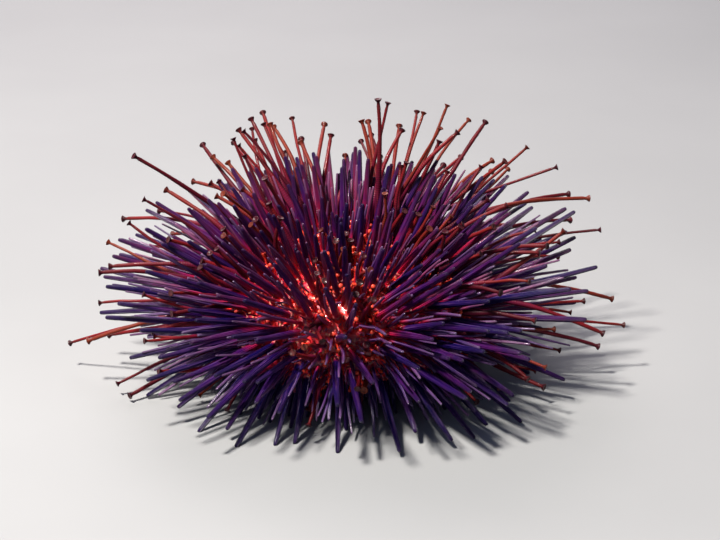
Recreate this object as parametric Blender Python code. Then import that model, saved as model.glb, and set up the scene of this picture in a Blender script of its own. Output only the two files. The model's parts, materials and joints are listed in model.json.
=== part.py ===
# Purple sea urchin, life size: a flattened round test cut into its ten named sectors, each with
# its spines, and on the five narrow ones its tube feet. The disc round the vent closes the test
# on top, the mouth membrane with its five teeth below.
# Metres, +Z up. The mouth faces down and the lowest spines stand on the plane z = 0.

import math

import bmesh
import bpy
import numpy as np
from mathutils import Vector

MM = 0.001
GAP = 0.3 * MM                    # clearance between pieces that touch
UPWARD = np.array([0.0, 0.0, 1.0])

# test
TEST_RADIUS = 25.0 * MM           # at the ambitus, the widest circle
AMBITUS_HEIGHT = 15.0 * MM        # of that circle above the floor
CROWN_RISE = 13.5 * MM            # from the ambitus up to the apex
BASE_DROP = 9.5 * MM              # from the ambitus down to the mouth
CROWN_POWER = 2.25                # 2 is an ellipse, more is squarer at the shoulder
BASE_POWER = 2.7
CORE_RADIUS = 2.0 * MM            # the sectors stop this far from the axis
DISC_RADIUS = 4.2 * MM
DISC_DEPTH = 1.8 * MM
MEMBRANE_RADIUS = 9.0 * MM
MEMBRANE_DEPTH = 2.4 * MM

SECTOR_COUNT = 5
AMBULACRUM_ANGLE = math.radians(26.0)
INTERAMBULACRUM_ANGLE = math.radians(360.0 / SECTOR_COUNT) - AMBULACRUM_ANGLE
SECTOR_KINDS = (("ambulacrum", AMBULACRUM_ANGLE), ("interambulacrum", INTERAMBULACRUM_ANGLE))
FIRST_AMBULACRUM = math.radians(54.0)
SPAN_ANGLE = math.radians(12.0)   # of one facet round the test
OUTLINE_STEPS = 9                 # facets from disc to mouth
CURVE_POINTS = 1441               # at which the test's outline is worked out
NORMAL_STEP = 0.4 * MM            # along the outline, to either side of a point

# mean length of a spine by the way the surface under it faces: +90 is up, -90 is down
SPINE_SLOPES = [-90.0, -75.0, -60.0, -40.0, -10.0, 15.0, 50.0, 90.0]
SPINE_LENGTHS = [8.0 * MM, 10.5 * MM, 15.0 * MM, 22.0 * MM, 25.0 * MM, 26.5 * MM, 19.0 * MM, 14.5 * MM]
# and by the way it faces round the axis, in degrees from +X, as a share of that mean
FACING_TURNS = [0.0, 30.0, 60.0, 115.0, 147.0, 180.0, 225.0, 270.0, 315.0, 360.0]
FACING_SHARES = [1.02, 1.2, 1.04, 1.0, 1.08, 0.98, 0.9, 0.88, 0.9, 1.02]
FAN_HEIGHT = 12.0 * MM            # spines spread from this point on the axis
NORMAL_SHARE = 0.5                # and from the surface's own direction
LOW_NORMAL_SHARE = 0.8            # which counts for more on the underside
UNDERSIDE = -0.8                  # upward part of the surface's direction, fully underneath

# one spine
SPINE_SIDES = 5
STANDING_SIDES = 4                # the short ones underneath
SPINE_RADIUS = 0.78 * MM          # at the root of a long spine
SHORT_SPINE_SHARE = 0.74          # of that at the root of the shortest
SPINE_TAPER = 0.55                # radius at the blunt tip, as a share of the root's
TIP_LENGTH = 0.5 * MM
ROOT_SINK = 1.3 * MM              # how deep a root goes into the test
LENGTH_SPREAD = 0.09
YOUNG_SHARE = 0.16                # of all spines, those that are still growing
YOUNG_LENGTH = (0.6, 0.8)
LEAN_SPREAD = 0.055               # random lean of each spine
GROUP_LEAN = 0.085                # lean that neighbours share
GROUP_LENGTH = 9.0 * MM           # along the outline, over which that lean changes

# rows of spines
SPINE_SPACING = 3.1 * MM
ROW_STEP = 3.05 * MM
ZIGZAG_STEP = 2.2 * MM            # along the outline, in the narrow sectors
EDGE_MARGIN = 1.55 * MM           # from a sector's edge to its nearest root
CROWN_MARGIN = 1.8 * MM
MOUTH_MARGIN = 1.5 * MM
ROOT_JITTER = 0.28 * MM
MIDLINE_SHARE = 0.2               # place of an ambulacrum's two columns across its half width

# clearances
SPINE_CLEARANCE = 0.36 * MM
SETTLED_CLEARANCE = 0.41 * MM     # what settling aims at
FLOOR_CLEARANCE = 0.7 * MM
STANDING_SLOPE = -0.5             # spines that point down more steeply than this reach the floor
STANDING_SLACK = 0.8              # and those that nearly reach it are as long as they need to be
SETTLING_ROUNDS = 90
SETTLING_STEP = 0.5               # share of a missing clearance that each spine gives per round
ROOT_SHARE = 0.3                  # least part of that for spines that meet near their roots
SETTLING_REACH = 3.0 * MM         # how far settling may carry a spine's middle
FOOT_NEIGHBOURS = 32.0 * MM

# tube feet
ZONE_FACINGS = (-1.0, -0.3, 0.8)  # sine of a zone's turn: -1 faces -Y, 1 the far side
FEET_IN_ZONE = (6, 12, 30)        # tried in one pore zone, by that facing
FOOT_SIDES = 5
FOOT_RADIUS = 0.52 * MM
FOOT_TAPER = 0.72                 # radius under the sucker, as a share of the root's
FOOT_JOINTS = 3
PORE_MARGINS = (0.75 * MM, 1.75 * MM)     # of the pores from their sector's edge
PORE_CROWDING = 1.55              # above 1 the pores stand closer together towards the top
FIRST_PORE = 7.5 * MM             # along the outline from the apex
LAST_PORE = 41.0 * MM
FOOT_BEYOND = 10.0 * MM           # how far a stretched foot passes the spines round it
FOOT_FAN = 0.6                    # how far the feet of one zone fan out to the sides
FOOT_SPREAD = 0.2
FOOT_BEND = 0.16
FOOT_STUB = 0.15                  # share of a spine, from its root, that feet keep clear of
FOOT_LIFT = 0.3                   # how much a foot that starts sideways turns up
FOOT_PORES = 4                    # pores that a foot may try, and paths from each
FOOT_TRIES = 60
FOOT_LENGTHS = (0.78, 1.08)
FOOT_CLEARANCE = 0.36 * MM
RESTING_FACING = (-0.75, 0.05)    # feet on the side that faces -Y stay short, the others stretch
RESTING_SHARE = 0.5
SUCKER_RADIUS = 0.78 * MM
SUCKER_DEPTH = 0.3 * MM
SUCKER_FLARE = 0.7 * MM
SUCKER_SHARE = 0.7                # of the last joint, from where the sucker's width counts
JOINT_RADII = [FOOT_RADIUS] * (FOOT_JOINTS - 1) + [SUCKER_RADIUS]

# mouth
TOOTH_COUNT = 5
TOOTH_WIDTH = 1.5 * MM
TOOTH_DEPTH = 1.1 * MM
TOOTH_HEIGHTS = [1.0 * MM, -0.9 * MM, -1.9 * MM]
TOOTH_LEANS = [0.0, 0.25 * MM, 0.9 * MM]
TOOTH_SHARES = [1.0, 0.85, 0.45]
MOUTH_RADIUS = 1.7 * MM
LIP_DROP = 0.3 * MM               # of the membrane below the test, half way in, and in the middle
MOUTH_DROP = 0.5 * MM
LIP_FEET_RADIUS = 6.3 * MM        # circle of the short feet round the mouth
LIP_FOOT_LENGTH = 2.4 * MM
LIP_FOOT_SPLAY = 0.6
LIP_FOOT_PAIR = math.radians(26.0)

# disc on top
PLATE_COUNT = 5
PLATE_RADIUS = 2.75 * MM          # of the ring of plates round the vent
PLATE_WIDTH = 1.15 * MM
PLATE_RISE = 0.35 * MM
PLATE_DEPTH = 0.8 * MM
CROWN_SPINES = 10
CROWN_SPINE_LENGTH = 7.5 * MM
CROWN_SPINE_CIRCLE = 3.3 * MM
CROWN_SPINE_SPLAY = (0.1, 0.3)

COLOURS = {
    "ambulacrum": (0.16, 0.035, 0.12),
    "interambulacrum": (0.11, 0.03, 0.15),
    "apical_disc": (0.30, 0.05, 0.09),
    "peristome": (0.36, 0.10, 0.10),
}


def test_curve():
    """Half outline of the test from apex to mouth: radius, height and length along it."""
    turn = np.linspace(0.0, math.pi, CURVE_POINTS)
    crown = turn <= math.pi / 2
    power = np.where(crown, CROWN_POWER, BASE_POWER)
    rise = np.where(crown, CROWN_RISE, BASE_DROP)
    radius = TEST_RADIUS * np.abs(np.sin(turn)) ** (2.0 / power)
    height = AMBITUS_HEIGHT + rise * np.sign(np.cos(turn)) * np.abs(np.cos(turn)) ** (2.0 / power)
    step = np.hypot(np.diff(radius), np.diff(height))
    along = np.concatenate([[0.0], np.cumsum(step)])
    return radius, height, along


CURVE_RADIUS, CURVE_HEIGHT, CURVE_ALONG = test_curve()


def along_at_radius(radius, below):
    """Length along the outline where it has this radius, above or below the ambitus."""
    half = len(CURVE_RADIUS) // 2
    if below:
        return float(np.interp(-radius, -CURVE_RADIUS[half:], CURVE_ALONG[half:]))
    return float(np.interp(radius, CURVE_RADIUS[:half], CURVE_ALONG[:half]))


CROWN_EDGE = along_at_radius(DISC_RADIUS, False)
MOUTH_EDGE = along_at_radius(MEMBRANE_RADIUS, True)


def outline_point(along):
    radius = np.interp(along, CURVE_ALONG, CURVE_RADIUS)
    height = np.interp(along, CURVE_ALONG, CURVE_HEIGHT)
    return radius, height


def outline_normal(along):
    """Outward direction of the outline as radial and upward parts."""
    r0, z0 = outline_point(along - NORMAL_STEP)
    r1, z1 = outline_point(along + NORMAL_STEP)
    length = np.hypot(r1 - r0, z1 - z0)
    return -(z1 - z0) / length, (r1 - r0) / length


def spine_heading(along):
    """Mean direction of a spine: between the surface's own and a fan from the axis."""
    radius, height = outline_point(along)
    out, up = outline_normal(along)
    fan = np.hypot(radius, height - FAN_HEIGHT)
    share = np.interp(up, [UNDERSIDE, 0.0], [LOW_NORMAL_SHARE, NORMAL_SHARE])
    out = share * out + (1.0 - share) * radius / fan
    up = share * up + (1.0 - share) * (height - FAN_HEIGHT) / fan
    length = np.hypot(out, up)
    return out / length, up / length


def spine_reach(along):
    """Mean length of a spine that stands on this part of the outline."""
    out, up = outline_normal(along)
    return np.interp(np.degrees(np.arctan2(up, out)), SPINE_SLOPES, SPINE_LENGTHS)


def facing_share(turn):
    """How much longer or shorter than the mean spines are on this side of the axis."""
    return np.interp(np.degrees(turn) % 360.0, FACING_TURNS, FACING_SHARES)


def sector_outline():
    """Closed outline of a sector, from the core's top over the outside to its foot."""
    points = []
    _, crown = outline_point(CROWN_EDGE)
    _, mouth = outline_point(MOUTH_EDGE)
    recess_top = crown - DISC_DEPTH - GAP
    recess_foot = mouth + MEMBRANE_DEPTH + GAP
    points.append((CORE_RADIUS, recess_top))
    points.append((DISC_RADIUS + GAP, recess_top))
    for along in np.linspace(CROWN_EDGE + GAP, MOUTH_EDGE - GAP, OUTLINE_STEPS + 1):
        points.append(outline_point(along))
    points.append((MEMBRANE_RADIUS + GAP, recess_foot))
    points.append((CORE_RADIUS, recess_foot))
    return points


def unit(vectors):
    return vectors / np.linalg.norm(vectors, axis=-1, keepdims=True)


def wide_sector_roots():
    """Rows of roots across the five wide sectors, each row half a space out from the last."""
    places = []
    rows = np.arange(CROWN_EDGE + CROWN_MARGIN, MOUTH_EDGE - MOUTH_MARGIN, ROW_STEP)
    for row, along in enumerate(rows):
        radius, _ = outline_point(along)
        usable = INTERAMBULACRUM_ANGLE * radius - 2.0 * EDGE_MARGIN
        count = max(1, int(usable / SPINE_SPACING) + 1)
        across = np.linspace(-usable / 2, usable / 2, count) if count > 1 else np.zeros(1)
        if row % 2 and count > 1:
            across = (across[1:] + across[:-1]) / 2
        places += [(1, along, offset / radius) for offset in across]
    return places


def narrow_sector_roots():
    """Two columns of roots beside the middle of each narrow sector, in a zigzag."""
    places = []
    rows = np.arange(CROWN_EDGE + CROWN_MARGIN, MOUTH_EDGE - MOUTH_MARGIN, ZIGZAG_STEP)
    for row, along in enumerate(rows):
        side = 1.0 if row % 2 else -1.0
        places.append((0, along, side * MIDLINE_SHARE * AMBULACRUM_ANGLE / 2))
    return places


def place_spines():
    """Arrays of every spine's node, root, direction, length and radius."""
    random = np.random.default_rng(7)
    places = np.array(narrow_sector_roots() + wide_sector_roots())
    kind = np.tile(places[:, 0], SECTOR_COUNT).astype(int)
    index = np.repeat(np.arange(SECTOR_COUNT), len(places))
    count = len(kind)
    along = np.tile(places[:, 1], SECTOR_COUNT) + random.uniform(-1, 1, count) * ROOT_JITTER
    step = 2.0 * math.pi / SECTOR_COUNT
    turn = FIRST_AMBULACRUM + (index + kind / 2.0) * step + np.tile(places[:, 2], SECTOR_COUNT)
    turn = turn + random.uniform(-1, 1, count) * ROOT_JITTER / np.interp(along, CURVE_ALONG, CURVE_RADIUS)

    radius, height = outline_point(along)
    outward = np.stack([np.cos(turn), np.sin(turn), np.zeros(count)], axis=1)
    sideways = np.stack([-np.sin(turn), np.cos(turn), np.zeros(count)], axis=1)
    root = outward * radius[:, None] + UPWARD * height[:, None]
    out, up = spine_heading(along)
    course = outward * out[:, None] + UPWARD * up[:, None]
    across_course = np.cross(sideways, course)
    phase = along / GROUP_LENGTH
    lean_side = GROUP_LEAN * np.sin(3.0 * turn + 1.9 * phase) + LEAN_SPREAD * random.normal(size=count)
    lean_up = GROUP_LEAN * np.cos(4.0 * turn - 1.3 * phase) + LEAN_SPREAD * random.normal(size=count)
    course = unit(course + sideways * lean_side[:, None] + across_course * lean_up[:, None])

    length = spine_reach(along) * facing_share(turn) * (1.0 + LENGTH_SPREAD * random.uniform(-1, 1, count))
    young = random.uniform(size=count) < YOUNG_SHARE
    length = np.where(young, length * random.uniform(*YOUNG_LENGTH, count), length)
    drop = root[:, 2] / np.maximum(-course[:, 2], -STANDING_SLOPE)
    standing = (course[:, 2] < STANDING_SLOPE) & (length > STANDING_SLACK * drop)
    length = np.where(standing, drop, length)
    thick = np.interp(spine_reach(along), [SPINE_LENGTHS[0], max(SPINE_LENGTHS)], [SHORT_SPINE_SHARE, 1.0])
    thick = SPINE_RADIUS * thick * random.uniform(0.92, 1.06, count)
    return {"kind": kind, "index": index, "root": root, "tip": root + course * length[:, None],
            "length": length, "standing": standing, "radius": thick, "taper": np.full(count, SPINE_TAPER)}


def nearest_shares(start_a, end_a, start_b, end_b):
    """Where two straight pieces come closest, as shares of their lengths."""
    run_a = end_a - start_a
    run_b = end_b - start_b
    offset = start_a - start_b
    aa = (run_a * run_a).sum(-1)
    bb = (run_b * run_b).sum(-1)
    ab = (run_a * run_b).sum(-1)
    ao = (run_a * offset).sum(-1)
    bo = (run_b * offset).sum(-1)
    share_a = np.clip((ab * bo - bb * ao) / np.maximum(aa * bb - ab * ab, 1e-18), 0.0, 1.0)
    share_b = np.clip((ab * share_a + bo) / bb, 0.0, 1.0)
    share_a = np.clip((ab * share_b - ao) / aa, 0.0, 1.0)
    return share_a, share_b


def spine_gaps(spines, first, second):
    """Clear distance, direction and nearest shares of the spines numbered first and second."""
    root, tip, radius, taper = spines["root"], spines["tip"], spines["radius"], spines["taper"]
    share_a, share_b = nearest_shares(root[first], tip[first], root[second], tip[second])
    near_a = root[first] + (tip[first] - root[first]) * share_a[:, None]
    near_b = root[second] + (tip[second] - root[second]) * share_b[:, None]
    apart = near_a - near_b
    distance = np.linalg.norm(apart, axis=1)
    thick_a = radius[first] * (1.0 - (1.0 - taper[first]) * share_a)
    thick_b = radius[second] * (1.0 - (1.0 - taper[second]) * share_b)
    return distance - thick_a - thick_b, apart / np.maximum(distance, 1e-9)[:, None], share_a, share_b


def foot_joints(feet):
    """The feet as straight joints, in the same arrays as the spines."""
    paths = np.array([path for _, path in feet])
    root = paths[:, :-1].reshape(-1, 3)
    tip = paths[:, 1:].reshape(-1, 3)
    count = len(root)
    return {"kind": np.zeros(count, dtype=int), "index": np.zeros(count, dtype=int), "root": root, "tip": tip,
            "length": np.linalg.norm(tip - root, axis=1), "standing": np.zeros(count, dtype=bool),
            "radius": np.tile(JOINT_RADII, len(feet)), "taper": np.ones(count)}


def settle(spines, joints):
    """Turns crossing spines apart about their roots, clear of the feet's joints and off the floor."""
    fixed = len(joints["radius"])
    spines = {name: np.concatenate([joints[name], values]) for name, values in spines.items()}
    count = len(spines["radius"])
    root, standing, length = spines["root"], spines["standing"], spines["length"]
    middle = (root + spines["tip"]) / 2
    first, second = np.triu_indices(count, 1)
    apart = np.linalg.norm(middle[first] - middle[second], axis=1)
    close = (apart < (length[first] + length[second]) / 2 + SETTLING_REACH) & (second >= fixed)
    first, second = first[close], second[close]
    held = (np.arange(count) < fixed)[:, None]
    for _ in range(SETTLING_ROUNDS):
        gap, away, share_a, share_b = spine_gaps(spines, first, second)
        push = SETTLING_STEP * np.maximum(SETTLED_CLEARANCE - gap, 0.0)
        move = np.zeros((count, 3))
        np.add.at(move, first, away * (push * np.maximum(share_a, ROOT_SHARE))[:, None])
        np.add.at(move, second, -away * (push * np.maximum(share_b, ROOT_SHARE))[:, None])
        tip = spines["tip"] + move
        free = root + unit(tip - root) * spines["length"][:, None]
        free[:, 2] = np.maximum(free[:, 2], FLOOR_CLEARANCE)
        tip[:, 2] = 0.0
        spines["tip"] = np.where(held, spines["tip"], np.where(standing[:, None], tip, free))
    keep = np.ones(count, dtype=bool)
    gap = spine_gaps(spines, first, second)[0]
    for worst in np.argsort(gap):
        if gap[worst] > SPINE_CLEARANCE:
            break
        if keep[first[worst]] and keep[second[worst]]:
            keep[second[worst]] = False
    keep[:fixed] = False
    return {name: values[keep] for name, values in spines.items()}


def place_feet(spines):
    """Each foot grows from the first pore, of a few, where a path is clear of the rest."""
    random = np.random.default_rng(8)
    starts = spines["root"]
    ends = starts + (spines["tip"] - starts) * FOOT_STUB
    thick = spines["radius"]
    feet = []
    for index in range(SECTOR_COUNT):
        middle = FIRST_AMBULACRUM + index * 2.0 * math.pi / SECTOR_COUNT
        rows = round(float(np.interp(math.sin(middle), ZONE_FACINGS, FEET_IN_ZONE)))
        for side in (-1.0, 1.0):
            for row in range(rows):
                path = None
                pores = FOOT_PORES
                while path is None and pores > 0:
                    pores -= 1
                    share = ((row + random.uniform(0.05, 0.95)) / rows) ** PORE_CROWDING
                    along = FIRST_PORE + share * (LAST_PORE - FIRST_PORE)
                    margin = random.uniform(*PORE_MARGINS) / outline_point(along)[0]
                    turn = middle + side * (AMBULACRUM_ANGLE / 2 - margin)
                    path = clear_path(random, along, turn, starts, ends, thick)
                if path is None:
                    continue
                feet.append((index, path))
                starts = np.concatenate([starts, path[:-1]])
                ends = np.concatenate([ends, path[1:]])
                thick = np.concatenate([thick, JOINT_RADII])
    return feet


def clear_path(random, along, turn, starts, ends, thick):
    """Curved paths from one pore, by chance, and of those the first that crosses nothing."""
    radius, height = outline_point(along)
    out, up = spine_heading(along)
    outward = np.array([math.cos(turn), math.sin(turn), 0.0])
    sideways = np.array([-math.sin(turn), math.cos(turn), 0.0])
    root = outward * radius + UPWARD * height
    stretch = float(np.interp(outward[1], RESTING_FACING, [0.0, 1.0]))
    length = spine_reach(along) * (RESTING_SHARE + (1.0 - RESTING_SHARE) * stretch) + FOOT_BEYOND * stretch
    length = length * facing_share(turn) * random.uniform(*FOOT_LENGTHS)
    fan = FOOT_FAN * random.uniform(-1.0, 1.0) * stretch
    course = outward * out + UPWARD * up
    raised = np.cross(sideways, course)
    side = random.normal(size=(FOOT_TRIES, 2)) * FOOT_SPREAD
    bend = random.normal(size=(FOOT_TRIES, 2)) * FOOT_BEND
    heading = unit(course + sideways * (fan + side[:, :1]) + raised * side[:, 1:])
    curve = sideways * bend[:, :1] + raised * (bend[:, 1:] + FOOT_LIFT * out * stretch)
    share = np.linspace(0.0, 1.0, FOOT_JOINTS + 1)[None, :, None]
    paths = root + length * (heading[:, None] * share + curve[:, None] * share ** 2)

    near = np.linalg.norm((starts + ends) / 2 - (root + course * length / 2), axis=1) < FOOT_NEIGHBOURS
    a0, a1 = paths[:, :-1, None], paths[:, 1:, None]
    b0, b1 = starts[near][None, None], ends[near][None, None]
    share_a, share_b = nearest_shares(a0, a1, b0, b1)
    spot_a = a0 + (a1 - a0) * share_a[..., None]
    spot_b = b0 + (b1 - b0) * share_b[..., None]
    gap = np.linalg.norm(spot_a - spot_b, axis=-1) - thick[near] - FOOT_RADIUS
    gap[:, -1] -= (SUCKER_RADIUS - FOOT_RADIUS) * (share_a[:, -1] > SUCKER_SHARE)
    clear = gap.min(axis=(1, 2)) > FOOT_CLEARANCE
    clear &= paths[:, 1:, 2].min(axis=1) > FLOOR_CLEARANCE + SUCKER_RADIUS
    return paths[int(clear.argmax())] if clear.any() else None


def new_object(name, vertices, faces, colour):
    mesh = bpy.data.meshes.new(name)
    mesh.from_pydata([tuple(v) for v in vertices], [], faces)
    work = bmesh.new()
    work.from_mesh(mesh)
    bmesh.ops.remove_doubles(work, verts=work.verts, dist=1e-6)
    bmesh.ops.recalc_face_normals(work, faces=work.faces)
    work.to_mesh(mesh)
    work.free()
    body = bpy.data.objects.new(name, mesh)
    bpy.context.scene.collection.objects.link(body)
    if colour:
        mesh.materials.append(skin_material(name, colour))
    return body


def skin_material(name, colour):
    material = bpy.data.materials.new(name)
    material.use_nodes = True
    shader = material.node_tree.nodes["Principled BSDF"]
    shader.inputs["Base Color"].default_value = (*colour, 1.0)
    shader.inputs["Roughness"].default_value = 0.45
    shader.inputs["Metallic"].default_value = 0.0
    return material


def slice_of_test(name, outline, middle, angle, colour):
    """Turns an outline through one sector, half a gap clear of its two neighbours."""
    spans = max(2, round(angle / SPAN_ANGLE))
    vertices = []
    for i in range(spans + 1):
        share = 2.0 * i / spans - 1.0
        turn = middle + share * angle / 2
        shift = -share * GAP / 2
        for radius, height in outline:
            x = radius * math.cos(turn) - shift * math.sin(turn)
            y = radius * math.sin(turn) + shift * math.cos(turn)
            vertices.append((x, y, height))
    count = len(outline)
    faces = [list(range(count)), list(range(spans * count, (spans + 1) * count))]
    for i in range(spans):
        for j in range(count):
            k = (j + 1) % count
            faces.append([i * count + j, i * count + k, (i + 1) * count + k, (i + 1) * count + j])
    return new_object(name, vertices, faces, colour)


def turned_disc(name, profile, sides, colour):
    """A solid of revolution whose profile starts and ends on the axis."""
    vertices = [(0.0, 0.0, profile[0][1]), (0.0, 0.0, profile[-1][1])]
    rings = profile[1:-1]
    for radius, height in rings:
        for i in range(sides):
            turn = 2.0 * math.pi * i / sides
            vertices.append((radius * math.cos(turn), radius * math.sin(turn), height))
    faces = []
    last = 2 + (len(rings) - 1) * sides
    for i in range(sides):
        j = (i + 1) % sides
        faces.append([0, 2 + i, 2 + j])
        faces.append([1, last + j, last + i])
        for k in range(len(rings) - 1):
            a = 2 + k * sides
            b = a + sides
            faces.append([a + i, b + i, b + j, a + j])
    return new_object(name, vertices, faces, colour)


def tube(name, points, radii, sides):
    """A closed tube through points, with a ring of its own radius at each, or a point at radius 0."""
    points = [Vector(point) for point in points]
    across = (points[1] - points[0]).orthogonal().normalized()
    vertices = []
    rings = []
    for i, point in enumerate(points):
        if radii[i] == 0.0:
            rings.append([len(vertices)] * sides)
            vertices.append(point)
            continue
        course = points[min(i + 1, len(points) - 1)] - points[max(i - 1, 0)]
        course.normalize()
        across = (across - course * across.dot(course)).normalized()
        beside = course.cross(across)
        rings.append(list(range(len(vertices), len(vertices) + sides)))
        for j in range(sides):
            turn = 2.0 * math.pi * j / sides
            vertices.append(point + (across * math.cos(turn) + beside * math.sin(turn)) * radii[i])
    faces = [rings[0]]
    if radii[-1] > 0.0:
        faces.append(rings[-1])
    for low, high in zip(rings, rings[1:]):
        for j in range(sides):
            k = (j + 1) % sides
            if high[j] == high[k]:
                faces.append([low[j], low[k], high[j]])
            else:
                faces.append([low[j], low[k], high[k], high[j]])
    return new_object(name, vertices, faces, None)


def spine(root, tip, radius, standing):
    """A straight tapered spine with a blunt tip, or cut level where it stands."""
    course = (tip - root) / np.linalg.norm(tip - root)
    start = root - course * ROOT_SINK
    end_radius = radius * SPINE_TAPER
    if not standing:
        neck = tip - course * TIP_LENGTH
        return tube("spine", [start, neck, tip], [radius, end_radius, 0.0], SPINE_SIDES)
    piece = tube("spine", [start, tip], [radius, end_radius], STANDING_SIDES)
    for vertex in piece.data.vertices[STANDING_SIDES:]:
        vertex.co = vertex.co - Vector(course) * (vertex.co.z / course[2])
        vertex.co.z = 0.0
    return piece


def foot(path):
    """A thin bent stem that flares into a flat sucker."""
    course = (path[1] - path[0]) / np.linalg.norm(path[1] - path[0])
    end = (path[-1] - path[-2]) / np.linalg.norm(path[-1] - path[-2])
    points = [path[0] - course * ROOT_SINK, *path[1:-1], path[-1] - end * SUCKER_FLARE, path[-1],
              path[-1] + end * SUCKER_DEPTH]
    radii = [*np.linspace(1.0, FOOT_TAPER, len(points) - 2) * FOOT_RADIUS, SUCKER_RADIUS, 0.0]
    return tube("foot", points, radii, FOOT_SIDES)


def fuse(body, pieces):
    """One union of a body with its pieces, of which the largest closed surface stays."""
    group = bpy.data.collections.new("pieces")
    bpy.context.scene.collection.children.link(group)
    for piece in pieces:
        bpy.context.scene.collection.objects.unlink(piece)
        group.objects.link(piece)
    union = body.modifiers.new("union", "BOOLEAN")
    union.operation = "UNION"
    union.operand_type = "COLLECTION"
    union.collection = group
    union.solver = "MANIFOLD"
    bpy.context.view_layer.update()
    graph = bpy.context.evaluated_depsgraph_get()
    mesh = bpy.data.meshes.new_from_object(body.evaluated_get(graph), depsgraph=graph)
    body.modifiers.clear()
    body.data = mesh
    for piece in list(group.objects):
        bpy.data.objects.remove(piece, do_unlink=True)
    bpy.data.collections.remove(group)
    keep_largest_surface(body)


def keep_largest_surface(body):
    """Drops every closed surface of a body but the one with the most points."""
    work = bmesh.new()
    work.from_mesh(body.data)
    waiting = set(work.verts)
    surfaces = []
    while waiting:
        surface = set()
        queue = [waiting.pop()]
        while queue:
            vertex = queue.pop()
            surface.add(vertex)
            for edge in vertex.link_edges:
                other = edge.other_vert(vertex)
                if other in waiting:
                    waiting.discard(other)
                    queue.append(other)
        surfaces.append(surface)
    largest = max(surfaces, key=len)
    spare = [vertex for surface in surfaces if surface is not largest for vertex in surface]
    bmesh.ops.delete(work, geom=spare, context="VERTS")
    bmesh.ops.triangulate(work, faces=work.faces)
    work.to_mesh(body.data)
    work.free()


def ring_places(count, radius, first):
    """Evenly spaced unit directions and points round the axis."""
    places = []
    for i in range(count):
        turn = first + 2.0 * math.pi * i / count
        outward = np.array([math.cos(turn), math.sin(turn), 0.0])
        places.append((outward, outward * radius))
    return places


def apical_disc():
    """The low cap on top with its ring of plates and a few short spines."""
    _, edge = outline_point(CROWN_EDGE)
    _, top = outline_point(0.0)
    profile = [(0.0, top), (DISC_RADIUS * 0.55, (top * 2 + edge) / 3), (DISC_RADIUS, edge),
               (DISC_RADIUS, edge - DISC_DEPTH), (0.0, edge - DISC_DEPTH)]
    body = turned_disc("apical_disc", profile, 20, COLOURS["apical_disc"])
    pieces = []
    for _, place in ring_places(PLATE_COUNT, PLATE_RADIUS, FIRST_AMBULACRUM + math.pi / SECTOR_COUNT):
        low = place + UPWARD * (edge - PLATE_DEPTH)
        high = place + UPWARD * (edge + (top - edge) / 3 + PLATE_RISE)
        pieces.append(tube("plate", [low, high], [PLATE_WIDTH, PLATE_WIDTH * 0.8], 6))
    random = np.random.default_rng(5)
    for outward, place in ring_places(CROWN_SPINES, CROWN_SPINE_CIRCLE, FIRST_AMBULACRUM):
        course = unit(UPWARD + outward * random.uniform(*CROWN_SPINE_SPLAY))
        root = place + UPWARD * edge
        tip = root + course * CROWN_SPINE_LENGTH * random.uniform(0.75, 1.15)
        pieces.append(spine(root, tip, SPINE_RADIUS * SHORT_SPINE_SHARE, False))
    fuse(body, pieces)


def peristome():
    """The mouth membrane, with the tips of five teeth and short feet in pairs round them."""
    _, edge = outline_point(MOUTH_EDGE)
    _, middle = outline_point(CURVE_ALONG[-1])
    profile = [(0.0, edge + MEMBRANE_DEPTH), (MEMBRANE_RADIUS, edge + MEMBRANE_DEPTH),
               (MEMBRANE_RADIUS, edge), (MEMBRANE_RADIUS / 2, middle - LIP_DROP),
               (0.0, middle - MOUTH_DROP)]
    body = turned_disc("peristome", profile, 40, COLOURS["peristome"])
    pieces = []
    for outward, place in ring_places(TOOTH_COUNT, MOUTH_RADIUS, FIRST_AMBULACRUM + math.pi / SECTOR_COUNT):
        pieces.append(tooth(outward, place + UPWARD * middle))
    for side in (-LIP_FOOT_PAIR / 2, LIP_FOOT_PAIR / 2):
        for outward, place in ring_places(SECTOR_COUNT, LIP_FEET_RADIUS, FIRST_AMBULACRUM + side):
            course = unit(outward * LIP_FOOT_SPLAY - UPWARD)
            root = place + UPWARD * middle
            pieces.append(foot(np.array([root, root + course * LIP_FOOT_LENGTH])))
    fuse(body, pieces)


def tooth(outward, root):
    """A curved blade whose tip leans in to meet the other four."""
    sideways = np.array([-outward[1], outward[0], 0.0])
    corners = [outward * TOOTH_DEPTH / 2, sideways * TOOTH_WIDTH / 2,
               outward * -TOOTH_DEPTH / 2, sideways * -TOOTH_WIDTH / 2]
    vertices = []
    for height, lean, share in zip(TOOTH_HEIGHTS, TOOTH_LEANS, TOOTH_SHARES):
        vertices += [root + UPWARD * height - outward * lean + corner * share for corner in corners]
    faces = [[0, 1, 2, 3], [8, 9, 10, 11]]
    for i in (0, 4):
        for j in range(4):
            k = (j + 1) % 4
            faces.append([i + j, i + k, i + 4 + k, i + 4 + j])
    return new_object("tooth", vertices, faces, None)


def sectors():
    """Ten slices of the test, narrow and wide by turns, each fused with what grows on it."""
    outline = sector_outline()
    step = 2.0 * math.pi / SECTOR_COUNT
    spines = place_spines()
    feet = place_feet(spines)
    spines = settle(spines, foot_joints(feet))
    for i in range(SECTOR_COUNT):
        for kind, (word, angle) in enumerate(SECTOR_KINDS):
            middle = FIRST_AMBULACRUM + (i + kind / 2) * step
            body = slice_of_test(f"{word}_{i + 1}", outline, middle, angle, COLOURS[word])
            own = np.flatnonzero((spines["kind"] == kind) & (spines["index"] == i))
            pieces = [spine(spines["root"][k], spines["tip"][k], spines["radius"][k], spines["standing"][k])
                      for k in own]
            pieces += [foot(path) for index, path in feet if kind == 0 and index == i]
            fuse(body, pieces)


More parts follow.
